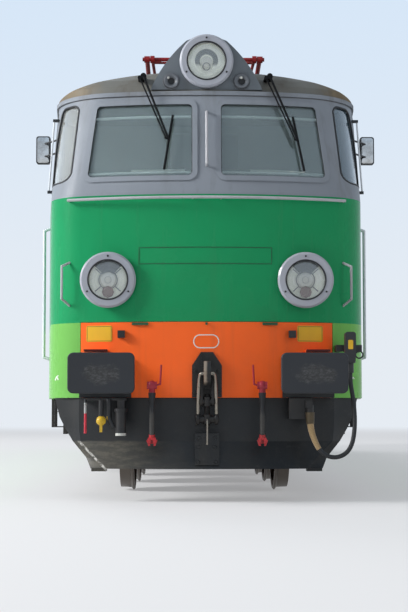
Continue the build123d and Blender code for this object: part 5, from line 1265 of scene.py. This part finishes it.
        def balls(shape):
            for side, shift in ((-1, -0.030), (1, -0.004)):
                centre = (side * 0.312 + shift, horn_y - 0.020, horn_z + 0.032)
                rows = [(0.013 * math.sin(math.pi * k / 10), -0.013 * math.cos(math.pi * k / 10))
                        for k in range(11)]
                rows[0], rows[-1] = (0.0, -0.013), (0.0, 0.013)
                lathe(shape, rows, centre, steps=20)
            copy_to_rear(shape)
        settle(smooth(mesh_piece("Horn_balls", balls)), "White paint")
        return {"FINISHED"}


def link_plate(shape, x, y, high, low, radii, waist):
    """A flat link with round ends, standing in the plane across x."""
    middle = (high + low) / 2
    turns = [math.pi * k / 10 for k in range(11)]
    outline = [(radii[0] * math.cos(t), high + radii[0] * math.sin(t)) for t in turns]
    outline.append((-waist, middle))
    turns = [math.pi * (1 + k / 10) for k in range(11)]
    outline += [(radii[1] * math.cos(t), low + radii[1] * math.sin(t)) for t in turns]
    outline.append((waist, middle))
    rings = []
    for px, share in ((x[0], 0.93), (x[0] + 0.003, 1.0), (x[1] - 0.003, 1.0), (x[1], 0.93)):
        rings.append([shape.verts.new((px, y + a * share, middle + (b - middle) * (share * 0.3 + 0.7))) for a,
                      b in outline])
    for first, second in zip(rings, rings[1:]):
        for k in range(len(outline)):
            n = (k + 1) % len(outline)
            shape.faces.new((first[k], first[n], second[n], second[k]))
    shape.faces.new(rings[0])
    shape.faces.new(rings[-1])


def turned(shape, centre, rows, axis, steps=28):
    """A solid rod or boss of (radius, distance) rows, closed at both ends."""
    lathe(shape, [(0.0, rows[0][1])] + rows + [(0.0, rows[-1][1])], centre, axis, steps)


def plain_rod(shape, centre, radius, half, axis):
    turned(shape, centre, [(radius - 0.003, -half), (radius, -half + 0.003), (radius, half - 0.003),
                           (radius - 0.003, half)], axis)


class LOCO_OT_coupling(bpy.types.Operator):
    """Hang the links and screw from the hook and lay the shackle up in its mouth"""
    bl_idname = "loco.coupling"
    bl_label = "Screw coupling"

    def execute(self, context):
        y, pin, low, nut = NOSE_Y - 0.120, RAIL + 1.030, RAIL + 0.830, RAIL + 0.680

        def links(shape):
            plain_rod(shape, (0, y, pin), 0.0235, 0.066, "X")
            for side in (-1, 1):
                link_plate(shape, sorted((side * 0.036, side * 0.060)), y, pin, low, (0.044, 0.041), 0.025)
                turned(shape, (side * 0.0635, y, pin), [(0.034, -0.0025), (0.036, 0.0), (0.034, 0.0025)], "X")
                ring = [(0.031, 0.064), (0.042, 0.064), (0.047, 0.070), (0.047, 0.088), (0.042, 0.094),
                        (0.031, 0.094)]
                lathe(shape, [(r, side * d) for r, d in ring + ring[:1]], (0, y, nut), "X", 28)
            plain_rod(shape, (0, y, low), 0.030, 0.066, "X")
            plain_rod(shape, (0, y, nut), 0.030, 0.100, "X")
            for z in (low, nut):
                plain_rod(shape, (0, y, z), 0.0365, 0.040, "Z")
            thread = [(0.020, nut - 0.062), (0.0235, nut - 0.058)]
            step, count = 0.010, 27
            for k in range(count):
                z = nut - 0.055 + k * step
                thread += [(0.0215, z), (0.0250, z + step * 0.35), (0.0250, z + step * 0.55),
                           (0.0215, z + step * 0.9)]
            turned(shape, (0, y, 0), thread, "Z", 24)
            copy_to_rear(shape)
        body = settle(smooth(mesh_piece("Screw_coupling", links), 35), "Greasy iron")
        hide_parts("screw_couplings")

        rest = (NOSE_Y - 0.2125, pin + 0.034)
        leg = [(-0.079, y, nut), (-0.078, y - 0.012, nut + 0.110), (-0.074, y - 0.034, pin - 0.110),
               (-0.068, y - 0.060, pin - 0.020), (-0.060, rest[0], rest[1] + 0.004), (-0.030, *rest)]
        shackle = leg + [(-x, b, c) for x, b, c in reversed(leg)]
        handle = [(0.0, y, nut), (0.0, y - 0.052, nut), (0.0, y - 0.076, nut - 0.018),
                  (0.0, y - 0.076, nut - 0.110),
                  (0.0, y - 0.073, nut - 0.214)]
        for name, path, radius in (("Coupling_shackle", shackle, 0.0135), ("Coupling_handle", handle, 0.0068)):
            ends = [path, [(-a, -b, c) for a, b, c in path]]
            settle(tube_mesh(name, ends, radius, kind="NURBS"), "Rubbed steel")

        hook = skin_of("draw_hooks")
        def ribs(shape):
            for x in (-0.044, 0.030):
                skin_strip(shape, hook, [(x, RAIL + z) for z in (1.135, 1.170, 1.205, 1.236)], 0.011, 0.022,
                           closed=False)
            copy_to_rear(shape)
        settle(mesh_piece("Hook_plate_ribs", ribs), "Greasy iron")
        return {"FINISHED"}


class LOCO_OT_front_marks(bpy.types.Operator):
    """Lay the plates and outlines on the nose, and dark plates on the beam as a painted reflection"""
    bl_idname = "loco.front_marks"
    bl_label = "Plates and outlines"

    def execute(self, context):
        beam, nose = skin_of("headstocks"), skin_of("cab_noses")
        wide, tall = sizes().plate_width, sizes().plate_height

        def plates(shape):
            for x in (-0.933, 0.898):
                skin_plate(shape, beam, (x - wide / 2, x + wide / 2),
                           (RAIL + 1.419 - tall / 2, RAIL + 1.419 + tall / 2), 0.003)
            copy_to_rear(shape)
        settle(smooth(mesh_piece("Beam_plates", plates)), "Plate yellow")

        def outlines(shape):
            for x in (-0.933, 0.898):
                half_x, half_z = wide / 2 - 0.008, tall / 2 - 0.008
                line = []
                for a, b in ((-1, -1), (1, -1), (1, 1), (-1, 1)):
                    line.append((x + a * half_x, RAIL + 1.419 + b * half_z))
                fine = []
                for start, stop in zip(line, line[1:] + line[:1]):
                    fine += [(start[0] + (stop[0] - start[0]) * k / 5, start[1] + (stop[1] - start[1]) * k / 5)
                             for k in range(5)]
                skin_strip(shape, beam, fine, 0.003, 0.0042)
            copy_to_rear(shape)
        settle(mesh_piece("Plate_borders", outlines), "Black paint")

        def oval(shape):
            middle, half, radius = (-0.006, RAIL + 1.348), 0.052, 0.056
            line = []
            for k in range(32):
                angle = math.tau * k / 32
                line.append((middle[0] + math.copysign(half, math.cos(angle)) + radius * math.cos(angle),
                             middle[1] + radius * math.sin(angle)))
            skin_strip(shape, beam, line, 0.009, 0.0015)
            copy_to_rear(shape)
        settle(mesh_piece("Oval_outline", oval), "White paint")

        def board(shape):
            x0, x1, z0, z1 = -0.588, 0.562, RAIL + 2.022, RAIL + 2.163
            edges = [((x0, z0), (x1, z0), 24), ((x1, z0), (x1, z1), 3), ((x1, z1), (x0, z1), 24),
                     ((x0, z1), (x0, z0), 3)]
            line = []
            for start, stop, count in edges:
                line += [(start[0] + (stop[0] - start[0]) * k / count,
                          start[1] + (stop[1] - start[1]) * k / count)
                         for k in range(count)]
            skin_strip(shape, nose, line, 0.006, 0.003)
            copy_to_rear(shape)
        settle(mesh_piece("Board_outline", board), "Groove and painted reflection green")

        def scuffs(shape):
            for strokes in (((-1.332, 1.048), (-1.318, 1.078), (-1.300, 1.090)),
                            ((-1.318, 1.078), (-1.306, 1.062), (-1.302, 1.050)),
                            ((1.276, 1.055), (1.292, 1.075), (1.300, 1.060))):
                skin_strip(shape, nose, strokes, 0.010, 0.0008, closed=False)
        settle(mesh_piece("Corner_scuffs", scuffs), "White paint")

        # painted reflection: dark green plates along the top of the beam where the glossy paint mirrors dark
        # things
        def reflection_plates(shape):
            for x, width in ((-0.575, 0.14), (-0.004, 0.018), (0.545, 0.13)):
                skin_plate(shape, beam, (x - width / 2, x + width / 2), (RAIL + 1.490, RAIL + 1.512), 0.018, 4,
                           0.004)
            copy_to_rear(shape)
        settle(smooth(mesh_piece("Beam_painted_reflections", reflection_plates)), "Groove and painted reflection green")

        spots = []
        plough = skin_of("ploughs")
        for x, z in ((-0.071, 0.518), (0.066, 0.518), (-0.071, 0.445), (0.066, 0.445), (-0.076, 0.318),
                     (0.076, 0.318)):
            spots.append(front_of(plough, x, RAIL + z))
        bolts("Plough_bolts", both_cabs(spots), sizes().bolt_radius, 0.010, "Plough iron")
        hook = skin_of("draw_hooks")
        spots = []
        for x, z in ((-0.100, 0.905), (0.100, 0.905), (-0.100, 1.09), (0.100, 1.09)):
            place, facing = front_of(hook, x, RAIL + z)
            spots.append((place, Vector((0, -1, 0))))
        bolts("Hook_plate_bolts", both_cabs(spots), 0.015, 0.018, "Greasy iron")
        return {"FINISHED"}


def rounded_outline(x, z, radius, steps=5):
    """Corners of a rectangle in x and z, rounded."""
    points = []
    for cx, cz, start in ((x[1] - radius, z[1] - radius, 0), (x[0] + radius, z[1] - radius, 90),
                          (x[0] + radius, z[0] + radius, 180), (x[1] - radius, z[0] + radius, 270)):
        for k in range(steps + 1):
            angle = math.radians(start + 90 * k / steps)
            points.append((cx + radius * math.cos(angle), cz + radius * math.sin(angle)))
    return points


def crowned_plate(shape, x, z, radius, y, thick, crown):
    """A rounded plate with a slightly domed front, facing towards thick's sign in y."""
    outline = rounded_outline(x, z, radius)
    mid = ((x[0] + x[1]) / 2, (z[0] + z[1]) / 2)
    rings = []
    for share, lift in ((1.0, 0.0), (1.0, thick), (0.93, thick + crown * 0.45), (0.6, thick + crown * 0.85)):
        rings.append([shape.verts.new((mid[0] + (px - mid[0]) * share, y + lift,
                                       mid[1] + (pz - mid[1]) * share))
                      for px, pz in outline])
    count = len(outline)
    for low, high in zip(rings, rings[1:]):
        for k in range(count):
            shape.faces.new((low[k], low[(k + 1) % count], high[(k + 1) % count], high[k]))
    tip = shape.verts.new((mid[0], y + thick + crown, mid[1]))
    foot = shape.verts.new((mid[0], y, mid[1]))
    for k in range(count):
        shape.faces.new((rings[-1][k], rings[-1][(k + 1) % count], tip))
        shape.faces.new((rings[0][(k + 1) % count], rings[0][k], foot))


# The middle of the front right mirror; the others mirror it
MIRROR_X, MIRROR_Y, MIRROR_Z = 1.512, -8.010, RAIL + 3.178


class LOCO_OT_mirrors(bpy.types.Operator):
    """Face the mirrors"""
    bl_idname = "loco.mirrors"
    bl_label = "Mirrors"

    def execute(self, context):
        def faces(wide, high, radius, y, thick, crown):
            def build(shape):
                for x in (-MIRROR_X, MIRROR_X):
                    before = set(shape.verts)
                    crowned_plate(shape, (-wide, wide), (MIRROR_Z - high, MIRROR_Z + high), radius, y, thick,
                                  crown)
                    for vert in set(shape.verts) - before:
                        vert.co += Vector((x, MIRROR_Y, 0))
                copy_to_rear(shape)
            return build
        settle(smooth(mesh_piece("Mirror_backs", faces(0.056, 0.120, 0.020, -0.028, -0.002, -0.004)), 30),
               "Mirror silver")
        settle(smooth(mesh_piece("Mirror_glasses", faces(0.056, 0.120, 0.018, 0.022, 0.0015, 0.001)), 30),
               "Mirror silver")
        return {"FINISHED"}


AXLES = [(body, side * 5.15 + pitch) for body, side in (("bogie_front", -1), ("bogie_rear", 1))
         for pitch in (-1.75, 0, 1.75)]


class LOCO_OT_running_gear(bpy.types.Operator):
    """Wind the springs and bolt the axle box covers"""
    bl_idname = "loco.running_gear"
    bl_label = "Springs and axle boxes"

    def execute(self, context):
        axle_z = RAIL + 0.625
        for body in ("bogie_front", "bogie_rear"):
            coils, covers, nuts = [], [], []
            for name, y in AXLES:
                if name != body:
                    continue
                for side in (-1, 1):
                    for hand in (-1, 1):
                        coils.append((Vector((side * 1.020, y + hand * 0.245, axle_z - 0.083)),
                                      Vector((0, 0, 1))))
                    for k in range(8):
                        angle = math.tau * (k + 0.5) / 8
                        covers.append((Vector((side * 1.1155, y + 0.084 * math.cos(angle),
                                               axle_z + 0.084 * math.sin(angle))),
                                       Vector((side, 0, 0))))
                    nuts.append((Vector((side * 1.1155, y, axle_z)), Vector((side, 0, 0))))
            label = body.split("_")[1]
            springs(f"Suspension_coils_{label}", coils, 6.0, 0.067, 0.303, 0.010, "Spring steel", body)
            bolts(f"Cover_bolts_{label}", covers, 0.011, 0.010, "Greasy iron", body)
            bolts(f"Cover_caps_{label}", nuts, 0.052, 0.008, "Chassis iron", body, sides=24)
        return {"FINISHED"}


class LOCO_OT_roof_fittings(bpy.types.Operator):
    """Bolt the roof panels"""
    bl_idname = "loco.roof_fittings"
    bl_label = "Roof bolts"

    def execute(self, context):
        roof = skin_of("roof_panels")
        low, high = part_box("roof_panels")
        spots = []
        for y in (low[1] + 0.05, -2.60, -2.44, 2.44, 2.60, high[1] - 0.05):
            for k in range(-9, 10):
                x = k * 0.145
                place, facing, _, _ = roof.ray_cast(Vector((x, y, 6)), Vector((0, 0, -1)))
                if place is not None and facing.z > 0.3 and place.z < RAIL + 3.86:
                    spots.append((place, facing))
        bolts("Roof_bolts", spots, 0.012, 0.008, "Roof paint")
        return {"FINISHED"}


def pad(shape, middle, size, lean=0.0, crown=0.018, cuts=9):
    """A crowned pad whose sides pull in between its corners."""
    cube = bmesh.ops.create_cube(shape, size=2.0)
    edges = list({edge for vert in cube["verts"] for edge in vert.link_edges})
    bmesh.ops.subdivide_edges(shape, edges=edges, cuts=cuts, use_grid_fill=True)
    tilt = Vector((0, math.sin(lean), math.cos(lean)))
    deep = Vector((0, math.cos(lean), -math.sin(lean)))
    for vert in [near for near in shape.verts if near.co.z < 1.001]:
        u, v, w = vert.co
        soft = (abs(u * v) ** 5 + abs(v * w) ** 5 + abs(u * w) ** 5) / 3
        shrink = 1 - 0.075 * soft
        swell_w = math.copysign(crown * (1 - u ** 4) * (1 - v ** 4), w) if abs(w) > 0.99 else 0.0
        swell_v = math.copysign(crown * 0.3 * (1 - u ** 4) * (1 - w ** 4), v) if abs(v) > 0.99 else 0.0
        swell_u = math.copysign(crown * 0.3 * (1 - v ** 4) * (1 - w ** 4), u) if abs(u) > 0.99 else 0.0
        place = Vector((u * size[0] * shrink + swell_u, 0, 0)) + deep * (v * size[1] * shrink + swell_v)
        vert.co = Vector(middle) + place + tilt * (w * size[2] * shrink + swell_w)


class LOCO_OT_cab_fittings(bpy.types.Operator):
    """Upholster the chairs and set dials on the desk"""
    bl_idname = "loco.cab_fittings"
    bl_label = "Cab chairs and dials"

    def execute(self, context):
        def cushions(shape):
            for x in (-0.54, 0.54):
                pad(shape, (x, -7.831, RAIL + 2.066), (0.240, 0.228, 0.058))
                pad(shape, (x, -7.615, RAIL + 2.430), (0.230, 0.055, 0.345), lean=math.radians(7.6),
                    crown=0.012)
            copy_to_rear(shape)
        chairs = mesh_piece("Chair_cushions", cushions)
        soften = chairs.modifiers.new("Round", "SUBSURF")
        soften.levels = soften.render_levels = 1
        settle(smooth(chairs, 80), "Chair cloth")

        rings = []
        for x in (-0.54, 0.54):
            loop = rounded_outline((x - 0.232, x + 0.232), (-8.050, -7.612), 0.05)
            rings.append([(px, py, RAIL + 2.112) for px, py in loop])
        rings += [[(-x, -y, z) for x, y, z in ring] for ring in rings]
        settle(tube_mesh("Chair_piping", rings, 0.006, closed=True), "Window rubber")

        lean = math.atan2(0.14, 0.29)
        up, out = Vector((0, -math.cos(lean), math.sin(lean))), Vector((0, math.sin(lean), math.cos(lean)))
        dials = []
        for x in (-0.66, -0.54, -0.42):
            dials.append((Vector((x, -8.315, RAIL + 2.490)) + out * 0.004, out))
        bolts("Desk_dials", both_cabs(dials), 0.045, 0.012, "Dial face", sides=28)
        levers = []
        for x in (-0.80, 0.25):
            foot = Vector((x, -8.28, RAIL + 2.470))
            levers += [[foot, foot + out * 0.10, foot + out * 0.13 + up * -0.05]]
        settle(tube_mesh("Desk_levers",
                         levers + [[Vector((-p.x, -p.y, p.z)) for p in lever] for lever in levers], 0.011),
               "Black paint")
        return {"FINISHED"}


class LOCO_OT_stage(bpy.types.Operator):
    """Set the floor, the light and the camera"""
    bl_idname = "loco.stage"
    bl_label = "Stage"

    def execute(self, context):
        scene = context.scene
        stage = scene.live_stage
        scene.view_settings.view_transform = "Standard"

        def plane(shape):
            half = 120
            corners = [shape.verts.new((x * half, y * half, 0)) for x,
                       y in ((-1, -1), (1, -1), (1, 1), (-1, 1))]
            shape.faces.new(corners)
        floor = mesh_piece("Floor", plane)
        made, shader, inputs = material("Floor", 0.85)
        inputs["Base Color"].default_value = stage.floor_grey
        inputs["Specular IOR Level"].default_value = 0.1
        # Seen directly or in glass and metal, the floor is paler, and far off it meets the background
        x, y, _ = shader.axes()[:3]
        away = shader.maths("SQRT",
                            shader.maths("ADD", shader.maths("POWER", x, 2), shader.maths("POWER", y, 2)))
        far = shader.ramp(away, 14, 60)
        share = shader.maths("ADD", 0.38, shader.maths("MULTIPLY", far, 0.62), clamp=True)
        ray = shader.add("ShaderNodeLightPath")
        seen = shader.maths("MAXIMUM", ray.outputs["Is Camera Ray"], ray.outputs["Is Glossy Ray"])
        seen = shader.maths("MAXIMUM", seen, ray.outputs["Is Transmission Ray"])
        glow = shader.add("ShaderNodeEmission")
        shader.join(shader.mix(far, srgb(234, 234, 236), tuple(stage.horizon)), glow.inputs["Color"])
        blend = shader.add("ShaderNodeMixShader")
        shader.join(shader.maths("MULTIPLY", share, seen), blend.inputs["Fac"])
        surface = next(n for n in made.node_tree.nodes if n.type == "BSDF_PRINCIPLED")
        shader.join(surface.outputs[0], blend.inputs[1])
        shader.join(glow.outputs[0], blend.inputs[2])
        output = next(n for n in made.node_tree.nodes if n.type == "OUTPUT_MATERIAL")
        shader.join(blend.outputs[0], output.inputs["Surface"])
        floor.data.materials.append(made)

        world = bpy.data.worlds.new("Sky")
        world.use_nodes = True
        world.node_tree.nodes.clear()
        sky = Shader(world.node_tree)
        where = sky.add("ShaderNodeTexCoord")
        split = sky.add("ShaderNodeSeparateXYZ")
        sky.join(where.outputs["Generated"], split.inputs[0])
        rise = sky.ramp(split.outputs["Z"], -0.05, 0.9)
        tone = sky.mix(rise, (1.0, 1.0, 1.0, 1), (0.78, 0.88, 1.0, 1))
        lit = sky.add("ShaderNodeBackground")
        sky.join(tone, lit.inputs["Color"])
        lit.inputs["Strength"].default_value = stage.sky_strength
        seen = sky.add("ShaderNodeBackground")
        climb = sky.ramp(split.outputs["Z"], 0.0, 0.34)
        sky.join(sky.mix(climb, tuple(stage.horizon), tuple(stage.background)), seen.inputs["Color"])
        seen.inputs["Strength"].default_value = 1.0
        ray = sky.add("ShaderNodeLightPath")
        shown = sky.maths("MAXIMUM", ray.outputs["Is Camera Ray"], ray.outputs["Is Glossy Ray"])
        shown = sky.maths("MAXIMUM", shown, ray.outputs["Is Transmission Ray"])
        blend = sky.add("ShaderNodeMixShader")
        sky.join(shown, blend.inputs["Fac"])
        sky.join(lit.outputs[0], blend.inputs[1])
        sky.join(seen.outputs[0], blend.inputs[2])
        output = sky.add("ShaderNodeOutputWorld")
        sky.join(blend.outputs[0], output.inputs["Surface"])
        scene.world = world

        # The last value says whether the light shows in glass and polished paint
        for name, place, aim, size, watts, in_mirrors in (
                ("Left soft light", (-25, -13.5, 14), (0, -8, 2), 9, 9200, True),
                ("Right soft light", (20, -24, 13), (0, -3, 2), 10, 760, False),
                ("Rear soft light", (-12, 18, 22), (0, 6, 2), 12, 2600, True)):
            light = bpy.data.lights.new(name, "AREA")
            light.size = size
            light.energy = watts
            lamp = bpy.data.objects.new(name, light)
            lamp.location = place
            lamp.visible_glossy = in_mirrors
            lamp.rotation_euler = (Vector(aim) - Vector(place)).to_track_quat("-Z", "Y").to_euler()
            context.collection.objects.link(lamp)

        lens = bpy.data.cameras.new("Camera")
        lens.lens = stage.camera_lens
        lens.sensor_width = 36
        lens.clip_end = 500
        camera = bpy.data.objects.new("Camera", lens)
        camera.location = stage.camera_place
        camera.rotation_euler = (math.pi / 2 + stage.camera_pitch, 0, -stage.camera_yaw)
        context.collection.objects.link(camera)
        scene.camera = camera
        return {"FINISHED"}


class LOCO_PT_panel(bpy.types.Panel):
    bl_label = "Locomotive"
    bl_idname = "LOCO_PT_panel"
    bl_space_type = "VIEW_3D"
    bl_region_type = "UI"
    bl_category = "Locomotive"

    def draw(self, context):
        for group in ("live_paint", "live_sizes", "live_stage"):
            box = self.layout.box()
            settings = getattr(context.scene, group)
            for key in settings.bl_rna.properties.keys():
                if key not in ("rna_type", "name"):
                    box.prop(settings, key)
        for operator in OPERATORS:
            self.layout.operator(operator.bl_idname)


GROUPS = (LivePaint, LiveSizes, LiveStage)
OPERATORS = (LOCO_OT_stage, LOCO_OT_paint_nodes, LOCO_OT_cords, LOCO_OT_windows, LOCO_OT_lamps,
             LOCO_OT_coupling,
             LOCO_OT_front_marks, LOCO_OT_mirrors, LOCO_OT_running_gear, LOCO_OT_roof_fittings,
             LOCO_OT_cab_fittings)


def register():
    for cls in GROUPS + OPERATORS + (LOCO_PT_panel,):
        bpy.utils.register_class(cls)
    bpy.types.Scene.live_paint = bpy.props.PointerProperty(type=LivePaint)
    bpy.types.Scene.live_sizes = bpy.props.PointerProperty(type=LiveSizes)
    bpy.types.Scene.live_stage = bpy.props.PointerProperty(type=LiveStage)


def unregister():
    for name in ("live_paint", "live_sizes", "live_stage"):
        delattr(bpy.types.Scene, name)
    for cls in reversed(GROUPS + OPERATORS + (LOCO_PT_panel,)):
        bpy.utils.unregister_class(cls)


def main():
    register()
    for operator in OPERATORS:
        group, name = operator.bl_idname.split(".")
        getattr(getattr(bpy.ops, group), name)()


if __name__ == "__main__":
    main()
